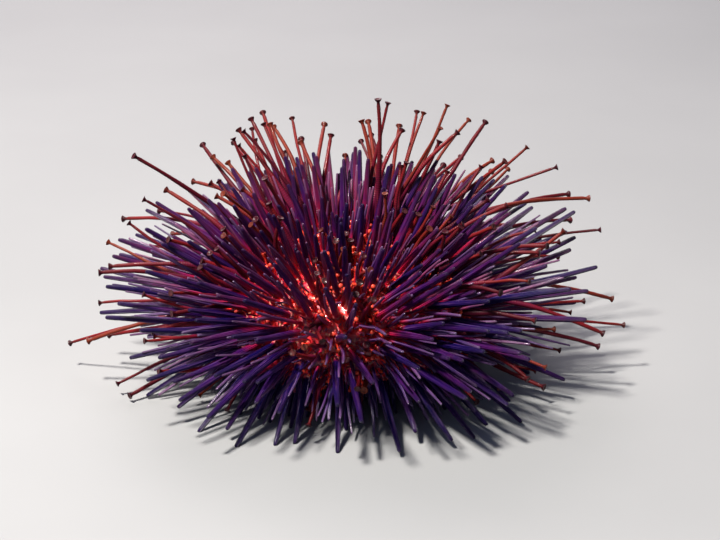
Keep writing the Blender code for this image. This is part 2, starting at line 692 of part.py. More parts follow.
def rest_on_origin():
    """Moves every piece so that the whole box is centred over the origin."""
    parts = [item for item in bpy.context.scene.objects if item.type == "MESH"]
    corners = [vertex.co for item in parts for vertex in item.data.vertices]
    low = Vector([min(co[axis] for co in corners) for axis in range(3)])
    high = Vector([max(co[axis] for co in corners) for axis in range(3)])
    centre = bpy.data.objects.new("sea_urchin", None)
    bpy.context.scene.collection.objects.link(centre)
    centre.location = (-(low.x + high.x) / 2, -(low.y + high.y) / 2, 0.0)
    for item in parts:
        item.parent = centre


def main():
    for item in list(bpy.data.objects):
        bpy.data.objects.remove(item, do_unlink=True)
    apical_disc()
    peristome()
    sectors()
    rest_on_origin()


main()
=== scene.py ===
import json
import math

import bpy
import numpy as np
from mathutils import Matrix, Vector

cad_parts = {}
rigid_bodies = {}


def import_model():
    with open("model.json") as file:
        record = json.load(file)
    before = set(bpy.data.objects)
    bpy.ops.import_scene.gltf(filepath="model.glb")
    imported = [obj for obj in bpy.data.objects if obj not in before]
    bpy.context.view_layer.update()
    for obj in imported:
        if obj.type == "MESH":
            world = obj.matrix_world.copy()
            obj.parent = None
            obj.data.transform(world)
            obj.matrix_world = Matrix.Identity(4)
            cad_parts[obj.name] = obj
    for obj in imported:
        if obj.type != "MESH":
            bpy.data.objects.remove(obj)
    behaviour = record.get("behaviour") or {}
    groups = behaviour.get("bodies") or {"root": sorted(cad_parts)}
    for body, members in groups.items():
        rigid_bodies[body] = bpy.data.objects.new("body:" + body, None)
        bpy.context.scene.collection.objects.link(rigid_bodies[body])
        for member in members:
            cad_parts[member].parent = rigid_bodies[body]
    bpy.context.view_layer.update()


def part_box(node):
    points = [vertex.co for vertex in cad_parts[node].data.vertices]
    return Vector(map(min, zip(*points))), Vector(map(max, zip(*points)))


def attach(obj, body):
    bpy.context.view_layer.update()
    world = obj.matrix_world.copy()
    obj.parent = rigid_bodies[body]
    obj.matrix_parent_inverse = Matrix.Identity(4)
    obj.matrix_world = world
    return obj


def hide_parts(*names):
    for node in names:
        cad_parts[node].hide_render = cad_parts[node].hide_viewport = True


# Purple sea urchin, life size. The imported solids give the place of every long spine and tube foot;
# this script gives the finer forms round them and all the finishes. Metres, +Z up, mouth down.

for item in list(bpy.data.objects):
    bpy.data.objects.remove(item, do_unlink=True)
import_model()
mm = 0.001
fullTurn = 2.0 * math.pi
upward = np.array([0.0, 0.0, 1.0])
leastSquare = 1e-18    # both keep a division from meeting zero
leastLength = 1e-9

mouthLow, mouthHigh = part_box("peristome")
axisPoint = np.array([(mouthLow.x + mouthHigh.x) / 2, (mouthLow.y + mouthHigh.y) / 2, 0.0])
sectorCount = 5
narrowNodes = [f"ambulacrum_{i + 1}" for i in range(sectorCount)]
wideNodes = [f"interambulacrum_{i + 1}" for i in range(sectorCount)]
narrowAngle = math.radians(26.0)
wideAngle = math.radians(360.0 / sectorCount) - narrowAngle
firstNarrow = math.radians(54.0)

# the test's outline, as in the solids
test = {
    "radius": 25.0 * mm,
    "ambitus": 15.0 * mm,
    "crownRise": 13.5 * mm,
    "baseDrop": 9.5 * mm,
    "crownPower": 2.25,
    "basePower": 2.7,
    "curvePoints": 1441,
    "normalStep": 0.4 * mm,
    "discRadius": 4.2 * mm,
    "membraneRadius": 9.0 * mm,
    "fanHeight": 12.0 * mm,
    "normalShare": 0.5,
    "lowNormalShare": 0.8,
    "underside": -0.8,
}


# Half outline from apex to mouth: a squared ellipse, radius * sin(t)^(2/power), height * cos(t)^(2/power).
def testCurve():
    turn = np.linspace(0.0, math.pi, test["curvePoints"])
    crown = turn <= math.pi / 2
    power = np.where(crown, test["crownPower"], test["basePower"])
    rise = np.where(crown, test["crownRise"], test["baseDrop"])
    radius = test["radius"] * np.abs(np.sin(turn)) ** (2.0 / power)
    height = test["ambitus"] + rise * np.sign(np.cos(turn)) * np.abs(np.cos(turn)) ** (2.0 / power)
    step = np.hypot(np.diff(radius), np.diff(height))
    return radius, height, np.concatenate([[0.0], np.cumsum(step)])


curveRadius, curveHeight, curveAlong = testCurve()


# Length along the outline where it has this radius, above or below the widest circle.
def alongAtRadius(radius, below):
    half = len(curveRadius) // 2
    if below:
        return float(np.interp(-radius, -curveRadius[half:], curveAlong[half:]))
    return float(np.interp(radius, curveRadius[:half], curveAlong[:half]))


crownEdge = alongAtRadius(test["discRadius"], False)
mouthEdge = alongAtRadius(test["membraneRadius"], True)
wholeAlong = curveAlong[-1]


# Radius and height of the outline at this length along it from the apex.
def outlinePoint(along):
    return np.interp(along, curveAlong, curveRadius), np.interp(along, curveAlong, curveHeight)


# Outward direction of the outline: its slope over a short step, turned a quarter.
def outlineNormal(along):
    r0, z0 = outlinePoint(along - test["normalStep"])
    r1, z1 = outlinePoint(along + test["normalStep"])
    length = np.hypot(r1 - r0, z1 - z0)
    return -(z1 - z0) / length, (r1 - r0) / length


# Mean direction of a spine: between the surface's own and a fan from a point on the axis.
def spineHeading(along):
    radius, height = outlinePoint(along)
    out, up = outlineNormal(along)
    fan = np.hypot(radius, height - test["fanHeight"])
    share = np.interp(up, [test["underside"], 0.0], [test["lowNormalShare"], test["normalShare"]])
    out = share * out + (1.0 - share) * radius / fan
    up = share * up + (1.0 - share) * (height - test["fanHeight"]) / fan
    length = np.hypot(out, up)
    return out / length, up / length


# The same directions, each of length one.
def unit(vectors):
    return vectors / np.linalg.norm(vectors, axis=-1, keepdims=True)


# Directions at a turn round the axis: away from it (cos, sin, 0) and along the circle (-sin, cos, 0).
def roundAxis(turn):
    outward = np.stack([np.cos(turn), np.sin(turn), np.zeros_like(turn)], axis=-1)
    sideways = np.stack([-np.sin(turn), np.cos(turn), np.zeros_like(turn)], axis=-1)
    return outward, sideways


# Points of the test: outward * radius + upward * height.
def rootsAt(along, turn):
    radius, height = outlinePoint(along)
    outward, _ = roundAxis(turn)
    return outward * radius[:, None] + upward * height[:, None]


# Directions there: a heading of the outline, turned round the axis, that leans by two amounts,
# course + sideways * first + (sideways x course) * second.
def coursesAt(along, turn, heading, lean):
    out, up = heading(along)
    outward, sideways = roundAxis(turn)
    course = outward * out[:, None] + upward * up[:, None]
    return unit(course + sideways * lean[:, :1] + np.cross(sideways, course) * lean[:, 1:])


# A chance direction square to each course.
def squareTo(course, random):
    return unit(np.cross(course, random.normal(size=course.shape)))


# where the long spines stand, drawn as in the solids
spines = {
    "slopes": [-90.0, -75.0, -60.0, -40.0, -10.0, 15.0, 50.0, 90.0],
    "lengths": [8.0 * mm, 10.5 * mm, 15.0 * mm, 22.0 * mm, 25.0 * mm, 26.5 * mm, 19.0 * mm, 14.5 * mm],
    "facingTurns": [0.0, 30.0, 60.0, 115.0, 147.0, 180.0, 225.0, 270.0, 315.0, 360.0],
    "facingShares": [1.02, 1.2, 1.04, 1.0, 1.08, 0.98, 0.9, 0.88, 0.9, 1.02],
    "radius": 0.78 * mm,
    "radiusSpread": (0.92, 1.06),
    "shortShare": 0.74,
    "taper": 0.55,
    "lengthSpread": 0.09,
    "youngShare": 0.16,
    "youngLength": (0.6, 0.8),
    "leanSpread": 0.055,
    "groupLean": 0.085,
    "groupLength": 9.0 * mm,
    "groupWaves": ((3.0, 1.9), (4.0, -1.3)),    # turns and phases of the lean aside and of the lean up
    "spacing": 3.1 * mm,
    "rowStep": 3.05 * mm,
    "zigzagStep": 2.2 * mm,
    "edgeMargin": 1.55 * mm,
    "crownMargin": 1.8 * mm,
    "mouthMargin": 1.5 * mm,
    "jitter": 0.28 * mm,
    "midlineShare": 0.2,
    "clearance": 0.36 * mm,
    "settled": 0.41 * mm,
    "floor": 0.7 * mm,
    "standingSlope": -0.5,
    "standingSlack": 0.8,
    "rounds": 90,
    "step": 0.5,
    "rootShare": 0.3,
    "reach": 3.0 * mm,
    "crownCount": 10,
    "crownLength": 7.5 * mm,
    "crownCircle": 3.3 * mm,
    "crownSplay": (0.1, 0.3),
    "crownSpread": (0.75, 1.15),
    "crownBake": 0.75,
    "seed": 7,
    "crownSeed": 5,
}


# Mean length of a spine by the slope of the surface that carries it.
def spineReach(along):
    out, up = outlineNormal(along)
    return np.interp(np.degrees(np.arctan2(up, out)), spines["slopes"], spines["lengths"])


# How much longer or shorter than the mean they are on this side of the axis.
def facingShare(turn):
    return np.interp(np.degrees(turn) % 360.0, spines["facingTurns"], spines["facingShares"])


# Places of the rows, from the crown's edge down to the mouth's.
def rowsDown(step):
    return np.arange(crownEdge + spines["crownMargin"], mouthEdge - spines["mouthMargin"], step)


# Rows across a wide sector, as many as the spacing lets in, those of every other row between.
def wideRoots():
    places = []
    for row, along in enumerate(rowsDown(spines["rowStep"])):
        radius, _ = outlinePoint(along)
        usable = wideAngle * radius - 2.0 * spines["edgeMargin"]
        count = max(1, int(usable / spines["spacing"]) + 1)
        across = np.linspace(-usable / 2, usable / 2, count) if count > 1 else np.zeros(1)
        if row % 2 and count > 1:
            across = (across[1:] + across[:-1]) / 2
        places += [(1, along, offset / radius) for offset in across]
    return places


# A zigzag down the middle of a narrow sector.
def narrowRoots():
    places = []
    for row, along in enumerate(rowsDown(spines["zigzagStep"])):
        side = 1.0 if row % 2 else -1.0
        places.append((0, along, side * spines["midlineShare"] * narrowAngle / 2))
    return places


# Roots, directions and lengths of the long spines on the five narrow and five wide sectors, each
# spine leaning with its neighbours by sines of its turn and height, and a little by chance.
def placeSpines():
    random = np.random.default_rng(spines["seed"])
    places = np.array(narrowRoots() + wideRoots())
    kind = np.tile(places[:, 0], sectorCount).astype(int)
    index = np.repeat(np.arange(sectorCount), len(places))
    count = len(kind)
    along = np.tile(places[:, 1], sectorCount) + random.uniform(-1, 1, count) * spines["jitter"]
    step = fullTurn / sectorCount
    turn = firstNarrow + (index + kind / 2.0) * step + np.tile(places[:, 2], sectorCount)
    turn = turn + random.uniform(-1, 1, count) * spines["jitter"] / outlinePoint(along)[0]

    phase = along / spines["groupLength"]
    (asideTurns, asidePhase), (raisedTurns, raisedPhase) = spines["groupWaves"]
    aside = spines["groupLean"] * np.sin(asideTurns * turn + asidePhase * phase) \
        + spines["leanSpread"] * random.normal(size=count)
    raised = spines["groupLean"] * np.cos(raisedTurns * turn + raisedPhase * phase) \
        + spines["leanSpread"] * random.normal(size=count)
    root = rootsAt(along, turn)
    course = coursesAt(along, turn, spineHeading, np.stack([aside, raised], axis=-1))

    reach = spineReach(along)
    length = reach * facingShare(turn) * (1.0 + spines["lengthSpread"] * random.uniform(-1, 1, count))
    young = random.uniform(size=count) < spines["youngShare"]
    length = np.where(young, length * random.uniform(*spines["youngLength"], count), length)
    drop = root[:, 2] / np.maximum(-course[:, 2], -spines["standingSlope"])
    standing = (course[:, 2] < spines["standingSlope"]) & (length > spines["standingSlack"] * drop)
    length = np.where(standing, drop, length)
    thick = np.interp(reach, [spines["lengths"][0], max(spines["lengths"])], [spines["shortShare"], 1.0])
    thick = spines["radius"] * thick * random.uniform(*spines["radiusSpread"], count)
    return {"root": root, "tip": root + course * length[:, None], "length": length, "standing": standing,
            "radius": thick, "taper": np.full(count, spines["taper"]), "along": along, "turn": turn}


# Where two straight pieces come closest, as shares of their lengths.
def nearestShares(startA, endA, startB, endB):
    runA = endA - startA
    runB = endB - startB
    offset = startA - startB
    aa = (runA * runA).sum(-1)
    bb = (runB * runB).sum(-1)
    ab = (runA * runB).sum(-1)
    ao = (runA * offset).sum(-1)
    bo = (runB * offset).sum(-1)
    shareA = np.clip((ab * bo - bb * ao) / np.maximum(aa * bb - ab * ab, leastSquare), 0.0, 1.0)
    shareB = np.clip((ab * shareA + bo) / bb, 0.0, 1.0)
    shareA = np.clip((ab * shareB - ao) / aa, 0.0, 1.0)
    return shareA, shareB


# The room left between pairs of tapering pieces, the way from the second to the first, and the
# shares of their lengths at which they are closest.
def spineGaps(placed, first, second):
    root, tip, radius, taper = placed["root"], placed["tip"], placed["radius"], placed["taper"]
    shareA, shareB = nearestShares(root[first], tip[first], root[second], tip[second])
    nearA = root[first] + (tip[first] - root[first]) * shareA[:, None]
    nearB = root[second] + (tip[second] - root[second]) * shareB[:, None]
    apart = nearA - nearB
    distance = np.linalg.norm(apart, axis=1)
    thickA = radius[first] * (1.0 - (1.0 - taper[first]) * shareA)
    thickB = radius[second] * (1.0 - (1.0 - taper[second]) * shareB)
    return distance - thickA - thickB, apart / np.maximum(distance, leastLength)[:, None], shareA, shareB


# Growth is kept as one array for each value, with a row for each spine or joint.
def joinGrowth(*groups):
    return {name: np.concatenate([group[name] for group in groups]) for name in groups[0]}


# Turns crossing spines apart about their roots, clear of what is held and off the floor. Of two
# that still meet, the later one goes.
def settle(held, placed, wanted, least):
    fixed = len(held["radius"])
    both = joinGrowth(held, placed)
    count = len(both["radius"])
    root, standing, length = both["root"], both["standing"], both["length"]
    middle = (root + both["tip"]) / 2
    first, second = np.triu_indices(count, 1)
    first, second = first[second >= fixed], second[second >= fixed]
    apart = np.linalg.norm(middle[first] - middle[second], axis=1)
    close = apart < (length[first] + length[second]) / 2 + spines["reach"]
    first, second = first[close], second[close]
    still = (np.arange(count) < fixed)[:, None]
    for _ in range(spines["rounds"]):
        gap, away, shareA, shareB = spineGaps(both, first, second)
        push = spines["step"] * np.maximum(wanted - gap, 0.0)
        move = np.zeros((count, 3))
        np.add.at(move, first, away * (push * np.maximum(shareA, spines["rootShare"]))[:, None])
        np.add.at(move, second, -away * (push * np.maximum(shareB, spines["rootShare"]))[:, None])
        tip = both["tip"] + move
        free = root + unit(tip - root) * length[:, None]
        free[:, 2] = np.maximum(free[:, 2], spines["floor"])
        tip[:, 2] = 0.0
        both["tip"] = np.where(still, both["tip"], np.where(standing[:, None], tip, free))
    keep = np.ones(count, dtype=bool)
    gap = spineGaps(both, first, second)[0]
    for worst in np.argsort(gap):
        if gap[worst] > least:
            break
        if keep[first[worst]] and keep[second[worst]]:
            keep[second[worst]] = False
    keep[:fixed] = False
    return {name: values[keep] for name, values in both.items()}


# where the tube feet reach, drawn as in the solids
feet = {
    "zoneFacings": (-1.0, -0.3, 0.8),
    "inZone": (6, 12, 30),
    "radius": 0.52 * mm,
    "taper": 0.72,
    "joints": 3,
    "poreMargins": (0.75 * mm, 1.75 * mm),
    "poreCrowding": 1.55,
    "firstPore": 7.5 * mm,
    "lastPore": 41.0 * mm,
    "beyond": 10.0 * mm,
    "fan": 0.6,
    "spread": 0.2,
    "bend": 0.16,
    "stub": 0.15,
    "lift": 0.3,
    "rowShare": (0.05, 0.95),
    "pores": 4,
    "tries": 60,
    "lengths": (0.78, 1.08),
    "clearance": 0.36 * mm,
    "neighbours": 32.0 * mm,
    "restingFacing": (-0.75, 0.05),
    "restingShare": 0.5,
    "suckerRadius": 0.78 * mm,
    "suckerShare": 0.7,
    "seed": 8,
}


# The feet as straight joints, in the same arrays as the spines.
def footJoints(paths, kind):
    root = paths[:, :-1].reshape(-1, 3)
    tip = paths[:, 1:].reshape(-1, 3)
    count = len(root)
    radii = [kind["radius"]] * (kind["joints"] - 1) + [kind["suckerRadius"]]
    return {"root": root, "tip": tip, "length": np.linalg.norm(tip - root, axis=1),
            "standing": np.zeros(count, dtype=bool), "radius": np.tile(radii, len(paths)),
            "taper": np.ones(count), "along": np.zeros(count), "turn": np.zeros(count)}


# Each foot grows from the first pore, of a few, where a path is clear of the rest.
def placeFeet(obstacles, kind):
    random = np.random.default_rng(kind["seed"])
    paths = []
    places = []
    for index in range(sectorCount):
        middle = firstNarrow + index * fullTurn / sectorCount
        rows = round(float(np.interp(math.sin(middle), kind["zoneFacings"], kind["inZone"])))
        for side in (-1.0, 1.0):
            for row in range(rows):
                path = None
                pores = kind["pores"]
                while path is None and pores > 0:
                    pores -= 1
                    share = ((row + random.uniform(*kind["rowShare"])) / rows) ** kind["poreCrowding"]
                    along = kind["firstPore"] + share * (kind["lastPore"] - kind["firstPore"])
                    margin = random.uniform(*kind["poreMargins"]) / outlinePoint(along)[0]
                    turn = middle + side * (narrowAngle / 2 - margin)
                    path = clearPath(random, along, turn, obstacles, kind)
                if path is None:
                    continue
                paths.append(path)
                places.append((along, turn))
                obstacles = joinGrowth(obstacles, footJoints(path[None], kind))
    return np.array(paths), np.array(places)


# Curved paths from one pore, root + length * (heading * s + curve * s^2), by chance, and of those
# the first that crosses nothing.
def clearPath(random, along, turn, obstacles, kind):
    radius, height = outlinePoint(along)
    out, up = spineHeading(along)
    outward = np.array([math.cos(turn), math.sin(turn), 0.0])
    sideways = np.array([-math.sin(turn), math.cos(turn), 0.0])
    root = outward * radius + upward * height
    stretch = float(np.interp(outward[1], kind["restingFacing"], [0.0, 1.0]))
    length = spineReach(along) * (kind["restingShare"] + (1.0 - kind["restingShare"]) * stretch) \
        + kind["beyond"] * stretch
    length = length * facingShare(turn) * random.uniform(*kind["lengths"])
    fan = kind["fan"] * random.uniform(-1.0, 1.0) * stretch
    course = outward * out + upward * up
    raised = np.cross(sideways, course)
    side = random.normal(size=(kind["tries"], 2)) * kind["spread"]
    bend = random.normal(size=(kind["tries"], 2)) * kind["bend"]
    heading = unit(course + sideways * (fan + side[:, :1]) + raised * side[:, 1:])
    curve = sideways * bend[:, :1] + raised * (bend[:, 1:] + kind["lift"] * out * stretch)
    share = np.linspace(0.0, 1.0, kind["joints"] + 1)[None, :, None]
    paths = root + length * (heading[:, None] * share + curve[:, None] * share ** 2)

    middle = (obstacles["root"] + obstacles["tip"]) / 2
    near = np.linalg.norm(middle - (root + course * length / 2), axis=1) < kind["neighbours"]
    a0, a1 = paths[:, :-1, None], paths[:, 1:, None]
    b0, b1 = obstacles["root"][near][None, None], obstacles["tip"][near][None, None]
    shareA, shareB = nearestShares(a0, a1, b0, b1)
    spotA = a0 + (a1 - a0) * shareA[..., None]
    spotB = b0 + (b1 - b0) * shareB[..., None]
    thick = obstacles["radius"][near] * (1.0 - (1.0 - obstacles["taper"][near]) * shareB)
    gap = np.linalg.norm(spotA - spotB, axis=-1) - thick - kind["radius"]
    gap[:, -1] -= (kind["suckerRadius"] - kind["radius"]) * (shareA[:, -1] > kind["suckerShare"])
    clear = gap.min(axis=(1, 2)) > kind["clearance"]
    clear &= paths[:, 1:, 2].min(axis=1) > spines["floor"] + kind["suckerRadius"]
    return paths[int(clear.argmax())] if clear.any() else None


drawn = placeSpines()
stubTips = drawn["root"] + (drawn["tip"] - drawn["root"]) * feet["stub"]
stubs = dict(drawn, tip=stubTips, taper=np.ones(len(stubTips)))
footPaths, footPlaces = placeFeet(stubs, feet)
joints = footJoints(footPaths, feet)
longSpines = settle(joints, drawn, spines["settled"], spines["clearance"])
print("placed", len(longSpines["radius"]), "long spines and", len(footPaths), "tube feet")

# more tube feet, thinner ones between those of the solids
thinFeet = dict(feet, inZone=(8, 16, 44), radius=0.40 * mm, suckerRadius=0.70 * mm, clearance=0.05 * mm,
                beyond=10.5 * mm, restingShare=0.62, fan=0.75, spread=0.26, tries=160, seed=41)
thinPaths, thinPlaces = placeFeet(joinGrowth(longSpines, joints), thinFeet)
joints = joinGrowth(joints, footJoints(thinPaths, thinFeet))
print("added", len(thinPaths), "thin tube feet")

# finer growth between them, which the solids leave out
finer = {
    "secondary": {"tries": 7000, "spacing": 1.42 * mm, "off": 1.2 * mm, "radius": (0.30 * mm, 0.48 * mm),
                  "share": (0.42, 0.92), "lean": 0.10, "seed": 31},
    "miliary": {"tries": 9000, "spacing": 0.86 * mm, "off": 0.92 * mm, "radius": (0.13 * mm, 0.21 * mm),
                "share": (0.10, 0.24), "lean": 0.22, "seed": 37},
    "low": crownEdge * 0.55,
    "high": mouthEdge - 0.6 * mm,
    "settled": 0.10 * mm,
    "clearance": 0.02 * mm,
    "falling": 0.05,    # downward slope past which a spine may meet the floor
    "blocks": 12,
}


# Darts thrown at the test: each new root keeps its distance from those before it.
def scatterRoots(kind, taken):
    random = np.random.default_rng(kind["seed"])
    along = random.uniform(finer["low"], finer["high"], kind["tries"])
    turn = random.uniform(0.0, fullTurn, kind["tries"])
    root = rootsAt(along, turn)
    clear = random.uniform(size=kind["tries"]) < outlinePoint(along)[0] / test["radius"]
    for block in np.array_split(taken, finer["blocks"]):
        clear &= np.linalg.norm(root[:, None] - block[None], axis=2).min(axis=1) > kind["off"]
    chosen = []
    for dart in np.flatnonzero(clear):
        if not chosen or np.linalg.norm(root[chosen] - root[dart], axis=1).min() > kind["spacing"]:
            chosen.append(dart)
    return random, along[chosen], turn[chosen], root[chosen]


# Spines of a share of the long ones' length there, cut short where they would meet the floor.
def finerSpines(kind, taken):
    random, along, turn, root = scatterRoots(kind, taken)
    count = len(along)
    course = coursesAt(along, turn, spineHeading, kind["lean"] * random.normal(size=(count, 2)))
    length = spineReach(along) * facingShare(turn) * random.uniform(*kind["share"], count)
    drop = (root[:, 2] - spines["floor"]) / np.maximum(-course[:, 2], finer["falling"])
    length = np.where(course[:, 2] < -finer["falling"], np.minimum(length, drop), length)
    return {"root": root, "tip": root + course * length[:, None], "length": length,
            "standing": np.zeros(count, dtype=bool), "radius": random.uniform(*kind["radius"], count),
            "taper": np.full(count, spines["taper"]), "along": along, "turn": turn}


taken = np.concatenate([longSpines["root"], footPaths[:, 0], thinPaths[:, 0]])
secondary = finerSpines(finer["secondary"], taken)
secondary = settle(joinGrowth(longSpines, joints), secondary, finer["settled"], finer["clearance"])
taken = np.concatenate([taken, secondary["root"]])
miliary = finerSpines(finer["miliary"], taken)
print("added", len(secondary["radius"]), "secondary and", len(miliary["radius"]), "miliary spines")


# surfaces
bake = {
    "patch": 0.0034,        # width of one small form's patch on the map
    "rows": (0.02, 0.96),   # where the test's outline starts on it, and how much it takes up
    "skin": (0.01, 0.98),   # the same for the skin, which goes on to the lip
    "poles": (0.002, 0.998),
}
grainPerMetre = 100.0    # of the grain map along a tube
skinGrain = 40.0
steep = 0.9              # upward share of a course past which its rings start from another direction


# The place of a root on the unwrapped test: turn round the axis across, length from the apex up.
def bakePlace(along, turn):
    across = np.clip(np.mod(turn / fullTurn, 1.0), bake["patch"], 1.0 - bake["patch"])
    start, rise = bake["rows"]
    return np.stack([across, start + rise * along / wholeAlong], axis=-1)


# Tubes carried along their centre lines: centre + radius * (across * cos + beside * sin) for each
# ring, the first and last of which are single points. Arrays: tubes, rings, x y z.
def sweepTubes(centres, courses, radii, sides, spots, tint, ribs=0.0):
    count, rings, _ = centres.shape
    inner = rings - 2
    turn = fullTurn * np.arange(sides) / sides
    ribbed = 1.0 + ribs * (np.arange(sides) % 2 * 2.0 - 1.0)
    course = courses[:, 0]
    aside = np.where(np.abs(course[:, 2:]) < steep, upward, np.array([1.0, 0.0, 0.0]))
    across = unit(np.cross(course, aside))
    points = np.empty((count, inner, sides, 3))
    for ring in range(inner):
        course = courses[:, ring + 1]
        across = unit(across - course * (across * course).sum(-1, keepdims=True))
        beside = np.cross(course, across)
        spread = radii[:, ring + 1, None] * ribbed
        points[:, ring] = centres[:, ring + 1, None] + spread[..., None] * (
            across[:, None] * np.cos(turn)[:, None] + beside[:, None] * np.sin(turn)[:, None])
    step = np.linalg.norm(np.diff(centres, axis=1), axis=2)
    run = np.concatenate([np.zeros((count, 1)), np.cumsum(step, axis=1)], axis=1)
    share = run / run[:, -1:]

    ring, place = np.meshgrid(np.arange(inner - 1), np.arange(sides), indexing="ij")
    here = ring * sides + place
    beyond = ring * sides + (place + 1) % sides
    quads = np.stack([here, beyond, beyond + sides, here + sides], axis=-1).reshape(-1, 4)
    quadSide = np.stack([place, place + 1, place + 1, place], axis=-1).reshape(-1, 4) / sides
    quadRing = np.stack([ring + 1, ring + 1, ring + 2, ring + 2], axis=-1).reshape(-1, 4)
    side = np.arange(sides)
    after = (side + 1) % sides
    foot = np.full(sides, inner * sides)
    last = (inner - 1) * sides
    fans = np.concatenate([np.stack([foot, after, side], axis=-1),
                           np.stack([last + side, last + after, foot + 1], axis=-1)])
    fanSide = np.concatenate([np.stack([side + 0.5, side + 1, side], axis=-1),
                              np.stack([side, side + 1, side + 0.5], axis=-1)]) / sides
    fanRing = np.repeat([[0, 1, 1], [rings - 2, rings - 2, rings - 1]], sides, axis=0)
    body = np.concatenate([points.reshape(count, -1, 3), centres[:, [0, -1]]], axis=1)
    bodyShare = np.concatenate([np.repeat(share[:, 1:-1], sides, axis=1), share[:, [0, -1]]], axis=1)
    size = inner * sides + 2
    base = (np.arange(count) * size)[:, None, None]

    def corners(sideShare, ringIndex):
        along = run[:, ringIndex] * grainPerMetre
        grain = np.stack([np.broadcast_to(sideShare, along.shape), along], axis=-1)
        patch = np.stack([np.broadcast_to(sideShare, along.shape), share[:, ringIndex]], axis=-1) - 0.5
        return grain.reshape(-1, 2), (spots[:, None, None] + patch * bake["patch"]).reshape(-1, 2)

    quadGrain, quadBake = corners(quadSide, quadRing)
    fanGrain, fanBake = corners(fanSide, fanRing)
    return {"points": body.reshape(-1, 3), "quads": (base + quads).reshape(-1, 4),
            "fans": (base + fans).reshape(-1, 3), "quadGrain": quadGrain, "fanGrain": fanGrain,
            "quadBake": quadBake, "fanBake": fanBake, "share": bodyShare.ravel(),
            "tint": np.repeat(tint, size)}


# Several surfaces as one: the corner numbers of each go up by the points before it.
def joinSurfaces(surfaces):
    joined = {}
    offsets = np.concatenate([[0], np.cumsum([len(surface["points"]) for surface in surfaces])])
    for name in surfaces[0]:
        numbered = name in ("quads", "fans")
        parts = [surface[name] + offset * numbered for surface, offset in zip(surfaces, offsets)]
        joined[name] = np.concatenate(parts)
    return joined


# Puts a surface into a mesh object and fixes what it stands for.
def addPiece(name, surface, material, nodes=()):
    points = surface["points"] + axisPoint
    corners = np.concatenate([surface["quads"].ravel(), surface["fans"].ravel()]).astype(np.int32)
    fours = len(surface["quads"])
    threes = len(surface["fans"])
    begin = np.concatenate([np.arange(fours) * 4, fours * 4 + np.arange(threes) * 3]).astype(np.int32)
    mesh = bpy.data.meshes.new(name)
    mesh.vertices.add(len(points))
    mesh.vertices.foreach_set("co", points.astype(np.float32).ravel())
    mesh.loops.add(len(corners))
    mesh.polygons.add(len(begin))
    mesh.polygons.foreach_set("loop_start", begin)
    mesh.polygons.foreach_set("vertices", corners)
    mesh.polygons.foreach_set("use_smooth", np.ones(len(begin), dtype=bool))
    for mapName, part in (("grain", "Grain"), ("OFBake", "Bake")):
        layer = mesh.uv_layers.new(name=mapName)
        flat = np.concatenate([surface["quad" + part], surface["fan" + part]])
        layer.uv.foreach_set("vector", flat.astype(np.float32).ravel())
    for valueName in ("share", "tint"):
        layer = mesh.attributes.new(valueName, "FLOAT", "POINT")
        layer.data.foreach_set("value", surface[valueName].astype(np.float32))
    mesh.update(calc_edges=True)
    mesh.materials.append(material)
    piece = bpy.data.objects.new(name, mesh)
    bpy.context.scene.collection.objects.link(piece)
    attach(piece, "root")
    if nodes:
        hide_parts(*nodes)
    print("made", name, fours * 2 + threes, "triangles")


# materials
def newTree(name):
    material = bpy.data.materials.new(name)
    material.use_nodes = True
    tree = material.node_tree
    return material, tree, tree.nodes["Principled BSDF"]


# Links another node's output to a socket, or sets the socket's own value.
def feed(tree, socket, value):
    if isinstance(value, bpy.types.NodeSocket):
        tree.links.new(value, socket)
    else:
        socket.default_value = value


def addNode(tree, kind, inputs=None, **settings):
    made = tree.nodes.new("ShaderNode" + kind)
    for name, value in settings.items():
        setattr(made, name, value)
    for name, value in (inputs or {}).items():
        feed(tree, made.inputs[name], value)
    return made


# A value that the mesh carries at its points: share of the way along, or tint by chance.
def quality(tree, name):
    return addNode(tree, "Attribute", attribute_name=name).outputs["Fac"]


# The grain map, stretched across and along.
def grainCoordinates(tree, across, along):
    coordinates = addNode(tree, "UVMap", uv_map="grain").outputs["UV"]
    return addNode(tree, "Mapping", {"Vector": coordinates, "Scale": (across, along, 1.0)}).outputs["Vector"]


def objectCoordinates(tree):
    return addNode(tree, "TexCoord").outputs["Object"]


def noise(tree, vector, scale, detail=3.0, roughness=0.5):
    return addNode(tree, "TexNoise", {"Vector": vector, "Scale": scale, "Detail": detail,
                                      "Roughness": roughness}).outputs["Fac"]


def ramp(tree, source, stops):
    made = addNode(tree, "ValToRGB", {"Fac": source})
    elements = made.color_ramp.elements
    while len(elements) < len(stops):
        elements.new(1.0)
    for element, (place, colour) in zip(elements, stops):
        element.position = place
        element.color = (*colour, 1.0)
    return made.outputs["Color"]


def blendColours(tree, share, first, second):
    made = addNode(tree, "Mix", {"Factor": share}, data_type="RGBA", blend_type="MIX")
    for place, colour in ((6, first), (7, second)):    # among its sockets, those of the two colours
        feed(tree, made.inputs[place], (*colour, 1.0) if isinstance(colour, tuple) else colour)
    return made.outputs[2]


def sums(tree, operation, *values):
    made = addNode(tree, "Math", operation=operation)
    for socket, value in zip(made.inputs, values):
        feed(tree, socket, value)
    return made.outputs["Value"]


def fit(tree, source, low, high, toLow, toHigh):
    return addNode(tree, "MapRange", {"Value": source, "From Min": low, "From Max": high,
                                      "To Min": toLow, "To Max": toHigh}).outputs["Result"]


def waves(tree, vector, scale, direction, distortion=0.0):
    return addNode(tree, "TexWave", {"Vector": vector, "Scale": scale, "Distortion": distortion},
                   wave_type="BANDS", bands_direction=direction, wave_profile="SIN").outputs["Fac"]


